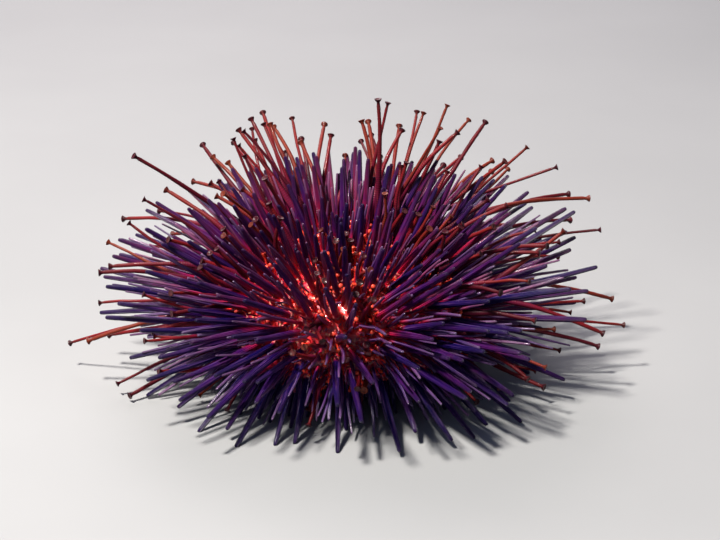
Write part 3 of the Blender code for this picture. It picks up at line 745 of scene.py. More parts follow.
def bump(tree, shader, height, depth, strength):
    made = addNode(tree, "Bump", {"Height": height, "Distance": depth, "Strength": strength})
    tree.links.new(made.outputs["Normal"], shader.inputs["Normal"])


# Lays a second colour over a first by a value's span: from, to, and the share of the second at each.
def overlay(tree, colour, over, source, span):
    return blendColours(tree, fit(tree, source, *span), colour, over)


# Links what varies over a piece and sets what stays the same.
def dress(tree, shader, colour, roughness, settings):
    tree.links.new(colour, shader.inputs["Base Color"])
    tree.links.new(roughness, shader.inputs["Roughness"])
    for name, value in settings.items():
        shader.inputs[name].default_value = value


# a span says from, to, and what it gives at each
spineFinish = {
    "hues": [(0.0, (0.006, 0.003, 0.060)), (0.35, (0.026, 0.004, 0.082)), (0.7, (0.080, 0.006, 0.082)),
             (1.0, (0.170, 0.008, 0.050))],
    "mottleScale": 420.0,
    "mottleSpan": (0.3, 0.7, -0.16, 0.16),
    "streakGrain": (9.0, 0.55),
    "streakNoise": (1.0, 4.0, 0.62),    # scale, detail, roughness
    # lighter lengthwise streaks, partly the spine's own lilac-grey and partly a painted highlight on the
    # raised ridges of the relief; then painted shade, navy, in its grooves
    "streakAndSheen": (0.20, 0.075, 0.22),
    "streakAndSheenSpan": (0.52, 0.70, 0.0, 0.6),
    "paintedGrooveShade": (0.003, 0.001, 0.034),
    "paintedGrooveShadeSpan": (0.48, 0.32, 0.0, 0.9),
    # the red near the root: partly the spine's own colour, partly a painted reflection of the crimson tissue
    # round it
    "base": (0.66, 0.008, 0.026),
    "rootRedAndReflectionSpan": (0.05, 1.0, 0.92, 0.0),
    "redSpan": (0.15, 0.95, 0.13, 0.56),    # how far up the base's red goes, by tint
    "tip": (0.018, 0.007, 0.045),
    "tipSpan": (0.60, 1.0, 0.0, 0.7),
    "ribs": 14,
    "ribScale": 6.2832,
    "ribStep": 20.0,    # by which the wave texture itself multiplies
    "ribDepth": 0.14 * mm,
    "ribStrength": 1.0,
    "streakDepth": 0.6,
    "roughSpan": (0.3, 0.7, 0.22, 0.44),
    "coat": 0.05,
    "coatRoughness": 0.12,
    "index": 1.26,
}


def spineMaterial(name, finish):
    material, tree, shader = newTree(name)
    share = quality(tree, "share")
    tint = quality(tree, "tint")
    streaks = noise(tree, grainCoordinates(tree, *finish["streakGrain"]), *finish["streakNoise"])
    mottle = noise(tree, objectCoordinates(tree), finish["mottleScale"])
    hue = sums(tree, "ADD", tint, fit(tree, mottle, *finish["mottleSpan"]))
    # painted shade in the grooves of the relief, then streaks that are partly own colour and partly painted
    # highlight on its ridges
    colour = overlay(tree, ramp(tree, hue, finish["hues"]), finish["paintedGrooveShade"], streaks, finish["paintedGrooveShadeSpan"])
    colour = overlay(tree, colour, finish["streakAndSheen"], streaks, finish["streakAndSheenSpan"])
    # red towards the root, partly own colour and partly painted reflection of the crimson tissue, reaching
    # further up the more tinted spines
    reddened = sums(tree, "DIVIDE", share, fit(tree, tint, *finish["redSpan"]))
    colour = overlay(tree, colour, finish["base"], reddened, finish["rootRedAndReflectionSpan"])
    colour = overlay(tree, colour, finish["tip"], share, finish["tipSpan"])
    dress(tree, shader, colour, fit(tree, streaks, *finish["roughSpan"]), {
        "IOR": finish["index"], "Coat Weight": finish["coat"], "Coat Roughness": finish["coatRoughness"]})
    ribGrain = grainCoordinates(tree, finish["ribs"] / finish["ribStep"], 0.0)
    ribs = waves(tree, ribGrain, finish["ribScale"], "X")
    height = sums(tree, "MULTIPLY_ADD", streaks, finish["streakDepth"], ribs)
    bump(tree, shader, height, finish["ribDepth"], finish["ribStrength"])
    return material


footFinish = {
    "along": [(0.0, (0.085, 0.012, 0.085)), (0.25, (0.10, 0.006, 0.036)), (0.60, (0.125, 0.005, 0.012)),
              (0.86, (0.15, 0.007, 0.009)), (0.955, (0.11, 0.008, 0.008)), (0.985, (0.018, 0.003, 0.005)),
              (1.0, (0.06, 0.018, 0.020))],
    "dark": (0.036, 0.003, 0.008),
    "darkSpan": (0.45, 1.0, 0.0, 0.85),
    "rust": (0.15, 0.026, 0.010),
    "rustSpan": (0.30, 0.05, 0.0, 0.7),
    "rustStart": (0.35, 0.60, 0.0, 1.0),    # past the violet foot of the stem
    # painted glow: lighter streaks standing in for light through the translucent stems and for glints on
    # them
    "paintedGlow": (0.42, 0.060, 0.055),
    "paintedGlowSpan": (0.60, 0.78, 0.0, 0.5),
    "streakGrain": (5.0, 1.4),
    "streakNoise": (1.0, 3.0, 0.6),
    "streakDepth": 0.5,
    "ringScale": 6.5,
    "ringDistortion": 1.2,
    "ringDepth": 0.07 * mm,
    "ringStrength": 0.5,
    "roughSpan": (0.3, 0.7, 0.28, 0.46),
    "index": 1.22,
    "coat": 0.06,
    "coatRoughness": 0.08,
    "scatter": 0.10,
    "scatterRadius": (1.0, 0.30, 0.14),
    "scatterScale": 0.8 * mm,
}


def footMaterial(name, finish):
    material, tree, shader = newTree(name)
    share = quality(tree, "share")
    tint = quality(tree, "tint")
    lower = fit(tree, share, *finish["rustStart"])
    rusty = sums(tree, "MULTIPLY", fit(tree, tint, *finish["rustSpan"]), lower)
    colour = blendColours(tree, rusty, ramp(tree, share, finish["along"]), finish["rust"])
    colour = overlay(tree, colour, finish["dark"], tint, finish["darkSpan"])
    streaks = noise(tree, grainCoordinates(tree, *finish["streakGrain"]), *finish["streakNoise"])
    # painted glow and glints along the streaks
    colour = overlay(tree, colour, finish["paintedGlow"], streaks, finish["paintedGlowSpan"])
    dress(tree, shader, colour, fit(tree, streaks, *finish["roughSpan"]), {
        "Subsurface Weight": finish["scatter"], "Subsurface Radius": finish["scatterRadius"],
        "Subsurface Scale": finish["scatterScale"], "IOR": finish["index"],
        "Coat Weight": finish["coat"], "Coat Roughness": finish["coatRoughness"]})
    rings = waves(tree, grainCoordinates(tree, 0.0, 1.0), finish["ringScale"], "Y", finish["ringDistortion"])
    height = sums(tree, "MULTIPLY_ADD", streaks, finish["streakDepth"], rings)
    bump(tree, shader, height, finish["ringDepth"], finish["ringStrength"])
    return material


tissueFinish = {
    "crimson": (0.93, 0.026, 0.016),
    "crimsonSpan": (0.40, 0.60, 0.0, 1.0),
    "deep": (0.48, 0.006, 0.030),
    "deepSpan": (0.35, 0.65, 0.0, 0.8),
    "violet": (0.14, 0.006, 0.065),
    "violetSpan": (0.50, 0.70, 0.0, 0.55),
    # painted glints: orange-white spots at the middles of the cells, standing in for sun on wet tissue
    "paintedGlint": (0.98, 0.46, 0.26),
    "paintedGlintSpan": (0.14, 0.34, 0.75, 0.0),
    "shade": (0.060, 0.003, 0.045),         # shade is painted shade that darkens the tissue towards the underside; these three by the length from the apex
    "paintedShadeSpan": (0.40, 0.58, 0.0, 0.85),
    "membrane": (0.34, 0.085, 0.075),
    "membraneSpan": (0.70, 0.74, 0.0, 1.0),
    "plate": (0.42, 0.020, 0.070),
    "plateSpan": (0.055, 0.085, 0.8, 0.0),
    "patchNoise": (210.0, 4.0, 0.6),
    "fineNoise": (1400.0, 3.0, 0.6),
    "cellScale": 900.0,
    "cellDepth": 1.2,
    "grainDepth": 0.22 * mm,
    "grainStrength": 0.7,
    "roughSpan": (0.3, 0.7, 0.26, 0.50),
    "shader": {"Subsurface Weight": 0.3, "Subsurface Radius": (1.0, 0.22, 0.16),
               "Subsurface Scale": 1.2 * mm, "Coat Weight": 0.3, "Coat Roughness": 0.10},
}


def tissueMaterial(name, finish):
    material, tree, shader = newTree(name)
    zone = quality(tree, "share")
    place = objectCoordinates(tree)
    patches = noise(tree, place, *finish["patchNoise"])
    fine = noise(tree, place, *finish["fineNoise"])
    cells = addNode(tree, "TexVoronoi", {"Vector": place, "Scale": finish["cellScale"]}).outputs["Distance"]
    colour = overlay(tree, finish["deep"], finish["crimson"], patches, finish["crimsonSpan"])
    colour = overlay(tree, colour, finish["violet"], fine, finish["violetSpan"])
    # painted glints at the cells' middles
    colour = overlay(tree, colour, finish["paintedGlint"], cells, finish["paintedGlintSpan"])
    # painted shade: dark violet towards the underside
    colour = overlay(tree, colour, finish["shade"], zone, finish["paintedShadeSpan"])
    belly = overlay(tree, finish["membrane"], finish["deep"], fine, finish["deepSpan"])
    colour = overlay(tree, colour, belly, zone, finish["membraneSpan"])
    colour = overlay(tree, colour, finish["plate"], zone, finish["plateSpan"])
    dress(tree, shader, colour, fit(tree, fine, *finish["roughSpan"]), finish["shader"])
    height = sums(tree, "MULTIPLY_ADD", cells, finish["cellDepth"], fine)
    bump(tree, shader, height, finish["grainDepth"], finish["grainStrength"])
    return material


toothFinish = {
    "ivory": (0.80, 0.76, 0.66),
    "stain": (0.42, 0.27, 0.20),
    "stainSpan": (0.45, 0.7, 0.0, 0.5),
    "rootSpan": (0.25, 0.55, 0.8, 0.0),
    "grain": (6.0, 1.5),
    "grainNoise": (1.0, 4.0),
    "grainDepth": 0.08 * mm,
    "grainStrength": 0.5,
    "roughSpan": (0.3, 0.7, 0.18, 0.36),
    "shader": {"Coat Weight": 0.5},
}


def toothMaterial(name, finish):
    material, tree, shader = newTree(name)
    grain = noise(tree, grainCoordinates(tree, *finish["grain"]), *finish["grainNoise"])
    colour = overlay(tree, finish["ivory"], finish["stain"], grain, finish["stainSpan"])
    colour = overlay(tree, colour, finish["stain"], quality(tree, "share"), finish["rootSpan"])
    dress(tree, shader, colour, fit(tree, grain, *finish["roughSpan"]), finish["shader"])
    bump(tree, shader, grain, finish["grainDepth"], finish["grainStrength"])
    return material


spineShade = spineMaterial("ribbedSpine", spineFinish)
# finer spines: their paler streaks are partly own colour and partly painted highlight on the ridges
fineFinish = dict(spineFinish, streakAndSheen=(0.34, 0.20, 0.36), tip=(0.16, 0.09, 0.18),
                  tipSpan=(0.60, 1.0, 0.0, 0.5), ribs=12, ribDepth=0.04 * mm, coat=0.25, index=1.4,
                  hues=[(0.0, (0.014, 0.005, 0.070)), (0.4, (0.048, 0.008, 0.088)),
                        (0.75, (0.11, 0.012, 0.080)), (1.0, (0.21, 0.018, 0.070))])
fineShade = spineMaterial("fineSpine", fineFinish)
footShade = footMaterial("tubeFootSkin", footFinish)
tissueShade = tissueMaterial("testTissue", tissueFinish)
toothShade = toothMaterial("toothCalcite", toothFinish)


# the skin over the whole test
skin = {
    "around": 470,
    "rows": 172,
    "mouthRows": 36,
    "apex": 0.5 * mm,
    "inset": 0.28 * mm,
    "bossHeight": 0.50 * mm,
    "bossRadius": 1.45 * mm,
    "smallHeight": 0.26 * mm,
    "smallRadius": 0.80 * mm,
    "blocks": 160,
    "rollHeight": 0.10 * mm,
    "rollsAround": (23.0, 5.0),      # waves of the rolls, and of what sways them
    "rollsDown": (3.1, 9.0),         # rows to a wave
    "rollSway": (2.0, 2.1),
    "lipRadii": [8.72, 8.2, 7.4, 6.2, 4.8, 3.5, 2.6, 2.15, 1.95, 1.75, 1.3, 0.6],
    "lipHeights": [6.05, 6.30, 6.20, 5.85, 5.52, 5.38, 5.30, 5.48, 5.95, 6.5, 6.9, 7.0],
    "lipStart": (-0.1, 0.25),        # mm from the test's edge
    "lipRounds": 2,
    "foldHeight": 0.16 * mm,
    "foldsAround": (44, 7.0),
    "foldsDown": 2.7,
    "foldSway": (1.3, 0.7),
    "foldFrom": (1.9 * mm, 1.6 * mm),    # radius where the folds start, and what they take to grow
    "foldEnd": 12.0,                     # rows in which they fade at the lip
    "topLift": 0.02 * mm,
}


# How far knobs raise the surface: the nearest root's distance d gives height * (1 - (d / radius)^2)^2.
def knobs(points, roots, radius, height):
    raised = np.zeros(len(points))
    order = np.argsort(points[:, 2], kind="stable")
    for block in np.array_split(order, skin["blocks"]):
        low = points[block, 2].min() - radius
        high = points[block, 2].max() + radius
        near = roots[(roots[:, 2] > low) & (roots[:, 2] < high)]
        if len(near) == 0:
            continue
        distance = np.linalg.norm(points[block][:, None] - near[None], axis=2).min(axis=1)
        raised[block] = height * np.clip(1.0 - (distance / radius) ** 2, 0.0, 1.0) ** 2
    return raised


# The test from apex to mouth, then the membrane to the lip round the teeth: each row is a circle
# of radius * (cos, sin) at its height, moved along the outline's normal by knobs, rolls and folds.
# Rolls are sin(turns around) * cos(rows down), and folds sin(turns around), each swayed by sines.
def skinSurface():
    along = np.linspace(skin["apex"], mouthEdge, skin["rows"])
    radius, height = outlinePoint(along)
    out, up = outlineNormal(along)
    step = np.linspace(0.0, 1.0, skin["mouthRows"] + 1)[1:]
    knots = np.linspace(0.0, 1.0, len(skin["lipRadii"]) + 1)
    lipOut, lipUp = skin["lipStart"]
    lipRadius = np.interp(step, knots, [radius[-1] / mm + lipOut] + skin["lipRadii"]) * mm
    lipHeight = np.interp(step, knots, [height[-1] / mm + lipUp] + skin["lipHeights"]) * mm
    for _ in range(skin["lipRounds"]):
        for values in (lipRadius, lipHeight):
            values[1:-1] = (values[:-2] + 2.0 * values[1:-1] + values[2:]) / 4
    rows = skin["rows"] + skin["mouthRows"]
    radius = np.concatenate([radius, lipRadius])
    height = np.concatenate([height, lipHeight])
    slopeR = np.gradient(radius)
    slopeZ = np.gradient(height)
    length = np.hypot(slopeR, slopeZ)
    normalOut = np.concatenate([out, (-slopeZ / length)[skin["rows"]:]])
    normalUp = np.concatenate([up, (slopeR / length)[skin["rows"]:]])
    turn = fullTurn * np.arange(skin["around"]) / skin["around"]
    outward, _ = roundAxis(turn)
    base = outward[None] * radius[:, None, None] + upward * height[:, None, None]
    normal = outward[None] * normalOut[:, None, None] + upward * normalUp[:, None, None]
    flat = base.reshape(-1, 3)
    large = knobs(flat, longSpines["root"], skin["bossRadius"], skin["bossHeight"])
    small = knobs(flat, secondary["root"], skin["smallRadius"], skin["smallHeight"])
    lift = np.maximum(large, small).reshape(rows, -1) - skin["inset"]
    row = np.arange(rows)[:, None]
    onTest = row < skin["rows"]
    rollTurns, rollSwayTurns = skin["rollsAround"]
    rollRows, rollSwayRows = skin["rollsDown"]
    downSway, aroundSway = skin["rollSway"]
    rolls = np.sin(rollTurns * turn + aroundSway * np.sin(row / rollSwayRows)) \
        * np.cos(row / rollRows + downSway * np.sin(rollSwayTurns * turn))
    lift = lift + skin["rollHeight"] * rolls * onTest
    foldTurns, foldSwayTurns = skin["foldsAround"]
    rowSway, turnSway = skin["foldSway"]
    folds = np.sin(foldTurns * turn + rowSway * np.sin(row / skin["foldsDown"])
                   + turnSway * np.sin(foldSwayTurns * turn))
    foldStart, foldGrowth = skin["foldFrom"]
    wide = np.clip((radius[:, None] - foldStart) / foldGrowth, 0.0, 1.0) * ~onTest
    fade = np.clip((rows - row) / skin["foldEnd"], 0.0, 1.0)
    lift = lift * onTest + skin["foldHeight"] * folds * wide * fade
    lift = lift + crownRelief(flat).reshape(rows, -1)
    points = base + normal * lift[..., None]
    whole = np.concatenate([[0.0], np.cumsum(np.hypot(np.diff(radius), np.diff(height)))])
    start, rise = bake["skin"]
    top, bottom = points[0, :, 2].mean() + skin["topLift"], points[-1, :, 2].mean()
    return gridSurface(points, start + rise * whole / whole[-1], upward * np.array([[top], [bottom]]))


crown = {
    "level": 0.7,
    "depth": 3.0 * mm,
    "genital": {"circle": 2.75 * mm, "radius": 1.25 * mm, "height": 0.30 * mm},
    "ocular": {"circle": 3.75 * mm, "radius": 0.62 * mm, "height": 0.18 * mm},
}


# Ten plates round the vent in two circles: height * (1 - (d / radius)^4) at distance d from a middle.
def crownRelief(points):
    step = fullTurn / sectorCount
    turn = firstNarrow + (np.arange(sectorCount) + 0.5) * step
    level = outlinePoint(crownEdge * crown["level"])[1]
    relief = np.zeros(len(points))
    top = points[:, 2] > level - crown["depth"]
    for plate, way in ((crown["genital"], turn), (crown["ocular"], turn + step / 2)):
        centres = roundAxis(way)[0] * plate["circle"]
        apart = np.linalg.norm(points[top][:, None, :2] - centres[None, :, :2], axis=2).min(axis=1)
        raised = plate["height"] * np.clip(1.0 - (apart / plate["radius"]) ** 4, 0.0, 1.0)
        relief[top] = np.maximum(relief[top], raised)
    return relief


# A closed grid: rows of points round the axis, capped by a fan at each pole.
def gridSurface(points, share, poles):
    rows, around, _ = points.shape
    row, side = np.meshgrid(np.arange(rows - 1), np.arange(around), indexing="ij")
    here = row * around + side
    after = row * around + (side + 1) % around
    quads = np.stack([here, here + around, after + around, after], axis=-1).reshape(-1, 4)
    one = np.arange(around)
    two = (one + 1) % around
    top = rows * around
    last = (rows - 1) * around
    fans = np.concatenate([np.stack([np.full(around, top), one, two], axis=-1),
                           np.stack([np.full(around, top + 1), last + two, last + one], axis=-1)])
    sideQuad = np.stack([side, side, side + 1, side + 1], axis=-1).reshape(-1, 4) / around
    rowQuad = np.stack([row, row + 1, row + 1, row], axis=-1).reshape(-1, 4)
    quadBake = np.stack([sideQuad, share[rowQuad]], axis=-1).reshape(-1, 2)
    fanSide = np.concatenate([np.stack([one + 0.5, one, one + 1], axis=-1),
                              np.stack([one + 0.5, one + 1, one], axis=-1)]) / around
    apex, lip = bake["poles"]
    fanRow = np.repeat([[apex, share[0], share[0]], [lip, share[-1], share[-1]]], around, axis=0)
    fanBake = np.stack([fanSide, fanRow], axis=-1).reshape(-1, 2)
    pointShare = np.concatenate([np.repeat(share, around), [0.0, 1.0]])
    return {"points": np.concatenate([points.reshape(-1, 3), poles]), "quads": quads, "fans": fans,
            "quadGrain": quadBake * skinGrain, "fanGrain": fanBake * skinGrain, "quadBake": quadBake,
            "fanBake": fanBake, "share": pointShare, "tint": np.zeros(len(pointShare))}


sectorNodes = narrowNodes + wideNodes
allNodes = sectorNodes + ["apical_disc", "peristome"]
addPiece("testSkin", skinSurface(), tissueShade, allNodes)

# the spines
spineShape = {
    "sides": 12,
    "ribs": 0.035,
    "sink": 0.35 * mm,
    "sunk": (0.98, 0.45),                                  # share of the sink, share of the shaft
    "ring": [(0.35, 0.72), (0.80, 1.16), (1.15, 0.90)],    # mm above the root, share of the shaft
    "shaft": [(0.16, 1.0), (0.42, 0.93), (0.72, 0.78)],    # share of the length, share of the shaft
    "tip": [(-0.75, 0.60), (-0.22, 0.50), (-0.05, 0.28)],  # mm before the tip
    "bow": 0.020,
    "tint": (0.0, 0.75),
    "seed": 43,
}


# A spine: rings of its profile on a line that bows by 4 * s * (1 - s) of a small share of its length.
def spineSurface(placed, shape, extraTint):
    random = np.random.default_rng(shape["seed"])
    root, tip, radius = placed["root"], placed["tip"], placed["radius"]
    run = tip - root
    length = np.linalg.norm(run, axis=1)
    nothing = np.zeros(len(length))
    scale = radius / spines["radius"]
    sunkPlace, sunkWidth = shape["sunk"]
    rings = [(-shape["sink"] / length, nothing), (-shape["sink"] * sunkPlace / length, radius * sunkWidth)]
    rings += [(height * mm * scale / length, radius * share) for height, share in shape["ring"]]
    rings += [(nothing + place, radius * share) for place, share in shape["shaft"]]
    rings += [(1.0 + height * mm * scale / length, radius * share) for height, share in shape["tip"]]
    rings += [(nothing + 1.0, nothing)]
    stops, width = (np.stack(values, axis=1) for values in zip(*rings))
    aside = squareTo(run / length[:, None], random)
    bow = shape["bow"] * length * random.uniform(-1.0, 1.0, len(length)) * ~placed["standing"]
    inside = np.clip(stops, 0.0, 1.0)
    centres = root[:, None] + run[:, None] * stops[..., None] \
        + aside[:, None] * (bow[:, None] * 4.0 * inside * (1.0 - inside))[..., None]
    courses = unit(run[:, None] + aside[:, None] * (bow[:, None] * 4.0 * (1.0 - 2.0 * inside))[..., None])
    tint = np.clip(random.uniform(*shape["tint"], len(length)) + extraTint, 0.0, 1.0)
    spots = bakePlace(placed["along"], placed["turn"])
    surface = sweepTubes(centres, courses, width, shape["sides"], spots, tint, shape["ribs"])
    surface["points"][:, 2] = np.maximum(surface["points"][:, 2], 0.0)    # the lowest end flat on the floor
    return surface


# The spines on the disc, in a ring, as in the solids.
def crownSpines():
    random = np.random.default_rng(spines["crownSeed"])
    turn = firstNarrow + fullTurn * np.arange(spines["crownCount"]) / spines["crownCount"]
    outward, _ = roundAxis(turn)
    root = outward * spines["crownCircle"] + upward * outlinePoint(crownEdge)[1]
    tip = []
    for way, low in zip(outward, root):
        course = unit(upward + way * random.uniform(*spines["crownSplay"]))
        tip.append(low + course * spines["crownLength"] * random.uniform(*spines["crownSpread"]))
    count = len(turn)
    return {"root": root, "tip": np.array(tip), "standing": np.zeros(count, dtype=bool),
            "radius": np.full(count, spines["radius"] * spines["shortShare"]),
            "along": np.full(count, crownEdge * spines["crownBake"]), "turn": turn}


# painted light: how much the tint rises with height on the test and towards the back, where the spines would
# be sunlit
paintedSunTint = {"high": 0.30, "back": 0.18}


# Painted light: spines high up and at the back get a redder, lighter tint, as if sunlit, and those low and
# at the front a bluer, darker one, as if in shade: shares of the outline's slope and of the turn's sine.
def paintedSunTintShare(placed):
    _, up = outlineNormal(placed["along"])
    return paintedSunTint["high"] * np.clip(up, -1.0, 1.0) + paintedSunTint["back"] * np.sin(placed["turn"])


crownOnes = crownSpines()
allLong = {name: np.concatenate([longSpines[name], crownOnes[name]]) for name in crownOnes}
# the long spines, with painted sunlight in their tint up top and at the back
addPiece("longSpines", spineSurface(allLong, spineShape, paintedSunTintShare(allLong)), spineShade,
         sectorNodes + ["apical_disc"])

secondShape = dict(spineShape, sides=8, ribs=0.05, seed=47, bow=0.035,
                   ring=[(0.30, 0.8), (0.75, 1.2), (1.1, 0.95)])
# the secondary spines, tinted a little redder, with the same painted sunlight
addPiece("secondarySpines", spineSurface(secondary, secondShape, 0.1 + paintedSunTintShare(secondary)), fineShade,
         sectorNodes)

miliaryShape = dict(spineShape, sides=6, ribs=0.0, seed=53, bow=0.05, sink=0.3 * mm,
                    ring=[(0.6, 1.2)], shaft=[(0.4, 1.0), (0.75, 0.85)], tip=[(-0.5, 0.8), (-0.12, 0.5)])
addPiece("miliarySpines", spineSurface(miliary, miliaryShape, 0.15), fineShade, sectorNodes)

# soft cuffs round the feet of the long spines
cuff = {
    "sides": 10,
    "rings": [(-0.30, 0.0), (-0.28, 1.9), (0.15, 1.62), (0.60, 1.34),     # mm above the root, share of the
              (1.05, 1.22), (1.35, 1.08), (1.30, 0.9), (1.2, 0.0)],       # spine
    "ribs": 0.04,
    "seed": 59,
}


# A cuff: rings that narrow from the skin up the first millimetre of a spine.
def cuffSurface(placed):
    random = np.random.default_rng(cuff["seed"])
    root, radius = placed["root"], placed["radius"]
    course = unit(placed["tip"] - root)
    heights, widths = np.array(cuff["rings"]).T
    centres = root[:, None] + course[:, None] * (heights * mm)[:, None]
    courses = np.repeat(course[:, None], len(heights), axis=1)
    spots = bakePlace(placed["along"], placed["turn"])
    return sweepTubes(centres, courses, radius[:, None] * widths, cuff["sides"], spots,
                      random.uniform(0.0, 1.0, len(radius)), cuff["ribs"])


addPiece("spineCuffs", cuffSurface(longSpines), tissueShade)

# tube feet
footShape = {
    "sides": 10,
    "stem": 11,
    "sink": 0.5 * mm,
    "sunk": (0.95, 1.5),         # share of the sink, share of the stem
    "stemEnd": 2.2 * mm,
    "base": 1.08,
    "wave": 0.16 * mm,
    "waveTurns": (6.0, 12.0),
    "waveStart": (0.0, 6.0),
    "swell": 0.34,
    "swellPlace": (1.25, 0.12),
    "ripple": 0.07,
    "rippleTurns": (14.0, 30.0),
    "neck": [(-1.5, 0.78), (-0.85, 0.64), (-0.50, 0.74), (-0.22, 1.20)],    # mm before the disc, share
    "disc": [(-0.06, 0.86), (0.04, 1.0), (0.12, 0.97), (0.13, 0.82), (0.04, 0.52), (-0.04, 0.26)],
    "cup": -0.05,
    "seed": 61,
}


# A foot: a stem on the path root + heading * s + curve * s^2, which waves, swells and ripples by sines
# of s, narrows to a neck and flares into a cupped disc.
def footSurface(paths, places, shape, kind):
    random = np.random.default_rng(shape["seed"])
    count = len(paths)
    stemRadius, discRadius = kind["radius"], kind["suckerRadius"]
    root, tip = paths[:, 0], paths[:, 3]
    whole = tip - root
    curve = 1.5 * (whole - 3.0 * (paths[:, 1] - root))
    heading = whole - curve
    start = unit(heading)
    end = unit(heading + 2.0 * curve)
    stemShare = (1.0 - shape["stemEnd"] / np.linalg.norm(whole, axis=1))[:, None, None]
    share = np.linspace(0.0, 1.0, shape["stem"] + 1)[None, :-1, None] * stemShare
    turns = random.uniform(*shape["waveTurns"], (count, 1, 1))
    wave = shape["wave"] * np.sin(share * turns + random.uniform(*shape["waveStart"], (count, 1, 1)))
    aside = squareTo(end, random)
    stem = root[:, None] + heading[:, None] * share + curve[:, None] * share ** 2
    stem = stem + aside[:, None] * wave * np.sin(np.pi * share)
    stemCourse = unit(heading[:, None] + 2.0 * curve[:, None] * share)
    share = share[..., 0]
    ripple = shape["ripple"] * np.sin(share * random.uniform(*shape["rippleTurns"], (count, 1)))
    stretch, shift = shape["swellPlace"]
    swell = shape["swell"] * np.sin(np.pi * np.clip(share * stretch + shift, 0.0, 1.0)) ** 2
    width = stemRadius * (shape["base"] + swell + ripple - (shape["base"] - feet["taper"]) * share)

    sunkPlace, sunkWidth = shape["sunk"]
    sunk = [root - start * shape["sink"], root - start * shape["sink"] * sunkPlace]
    centres = [np.stack(sunk, axis=1), stem]
    courses = [np.repeat(start[:, None], 2, axis=1), stemCourse]
    widths = [np.tile([0.0, stemRadius * sunkWidth], (count, 1)), width]
    scale = discRadius / feet["suckerRadius"]
    cup = [(shape["cup"], 0.0)]
    for group, base in ((shape["neck"], stemRadius), (shape["disc"], discRadius), (cup, discRadius)):
        heights, shares = np.array(group).T
        centres.append(tip[:, None] + end[:, None] * (heights * mm * scale)[:, None])
        courses.append(np.repeat(end[:, None], len(heights), axis=1))
        widths.append(np.tile(shares * base, (count, 1)))
    centres, courses, widths = (np.concatenate(part, axis=1) for part in (centres, courses, widths))
    return sweepTubes(centres, courses, widths, shape["sides"], bakePlace(places[:, 0], places[:, 1]),
                      random.uniform(0.0, 1.0, count))


addPiece("tubeFeet", footSurface(footPaths, footPlaces, footShape, feet), footShade, narrowNodes)
thinShape = dict(footShape, seed=67, wave=0.28 * mm, sides=8)
addPiece("thinTubeFeet", footSurface(thinPaths, thinPlaces, thinShape, thinFeet), footShade)

# short drawn-in feet and pincers close to the skin
skinEdges = (crownEdge * 1.1, mouthEdge - 0.6 * mm)
shortFeet = {
    "count": 1100,
    "length": (1.2 * mm, 4.4 * mm),
    "radius": (0.18 * mm, 0.34 * mm),
    "zone": (0.30, 1.25),    # share of the narrow sector's half
    "lean": 0.5,
    "bend": 0.25,
    "shares": [-0.12, -0.10, 0.15, 0.45, 0.72, 0.84, 0.95, 1.0, 1.0],
    "widths": [0.0, 1.3, 1.1, 0.95, 0.80, 0.95, 1.65, 1.35, 0.0],
    "tint": (0.0, 0.7),
    "sides": 8,
    "seed": 71,
}


# Short tubes that bend on their way: root + length * (s * course + bend * s^2 * aside).
def bentTubes(kind, root, course, aside, length, thickness, spots, random):
    share = np.array(kind["shares"])
    inside = np.clip(share, 0, 1)
    centres = root[:, None] + (length[:, None] * share)[..., None] * course[:, None] \
        + ((kind["bend"] * length[:, None]) * inside ** 2)[..., None] * aside[:, None]
    courses = unit(course[:, None] + (2.0 * kind["bend"] * inside)[None, :, None] * aside[:, None])
    return sweepTubes(centres, courses, thickness[:, None] * np.array(kind["widths"]), kind["sides"], spots,
                      random.uniform(*kind["tint"], len(root)))


# A drawn-in foot: a plump stem with a knob, radius by rings, leaning by chance.
def shortFootSurface(kind):
    random = np.random.default_rng(kind["seed"])
    count = kind["count"]
    sector = random.integers(0, sectorCount, count)
    side = random.choice([-1.0, 1.0], count)
    along = random.uniform(*skinEdges, count)
    across = side * random.uniform(*kind["zone"], count) * narrowAngle / 2
    turn = firstNarrow + sector * fullTurn / sectorCount + across
    course = coursesAt(along, turn, outlineNormal, kind["lean"] * random.normal(size=(count, 2)))
    aside = squareTo(course, random)
    length = random.uniform(*kind["length"], count)
    thickness = random.uniform(*kind["radius"], count)
    spots = bakePlace(along, turn)
    return bentTubes(kind, rootsAt(along, turn), course, aside, length, thickness, spots, random)


# drawn-in feet in vivid crimson, whose streaks carry orange-white painted glints
drawnInFinish = dict(footFinish, dark=(0.24, 0.004, 0.022), rust=(0.75, 0.060, 0.020),
                     paintedGlow=(0.95, 0.32, 0.18), index=1.33, coat=0.35,
                     along=[(0.0, (0.42, 0.006, 0.024)), (0.55, (0.66, 0.014, 0.016)),
                            (0.88, (0.78, 0.040, 0.020)), (1.0, (0.62, 0.060, 0.034))])
drawnInShade = footMaterial("drawnInFoot", drawnInFinish)
addPiece("shortTubeFeet", shortFootSurface(shortFeet), drawnInShade)

pincers = {
    "count": 260,
    "length": (2.0 * mm, 4.4 * mm),
    "lean": 0.4,
    "stem": 0.09 * mm,
    "stemShares": [-0.1, -0.09, 0.3, 0.7, 0.97, 1.0],
    "stemWidths": [0.0, 1.2, 1.0, 1.0, 1.3, 0.0],
    "head": 0.30 * mm,
    "jaws": 3,
    "jawLength": 0.62 * mm,
    "jawHeights": [-0.15, 0.0, 0.35, 0.75, 1.05],
    "jawSpreads": [0.2, 0.45, 0.62, 0.45, 0.10],
    "jawWidths": [0.0, 0.36, 0.44, 0.26, 0.0],
    "tint": (0.2, 1.0),
    "sides": (6, 5),
    "seed": 73,
}


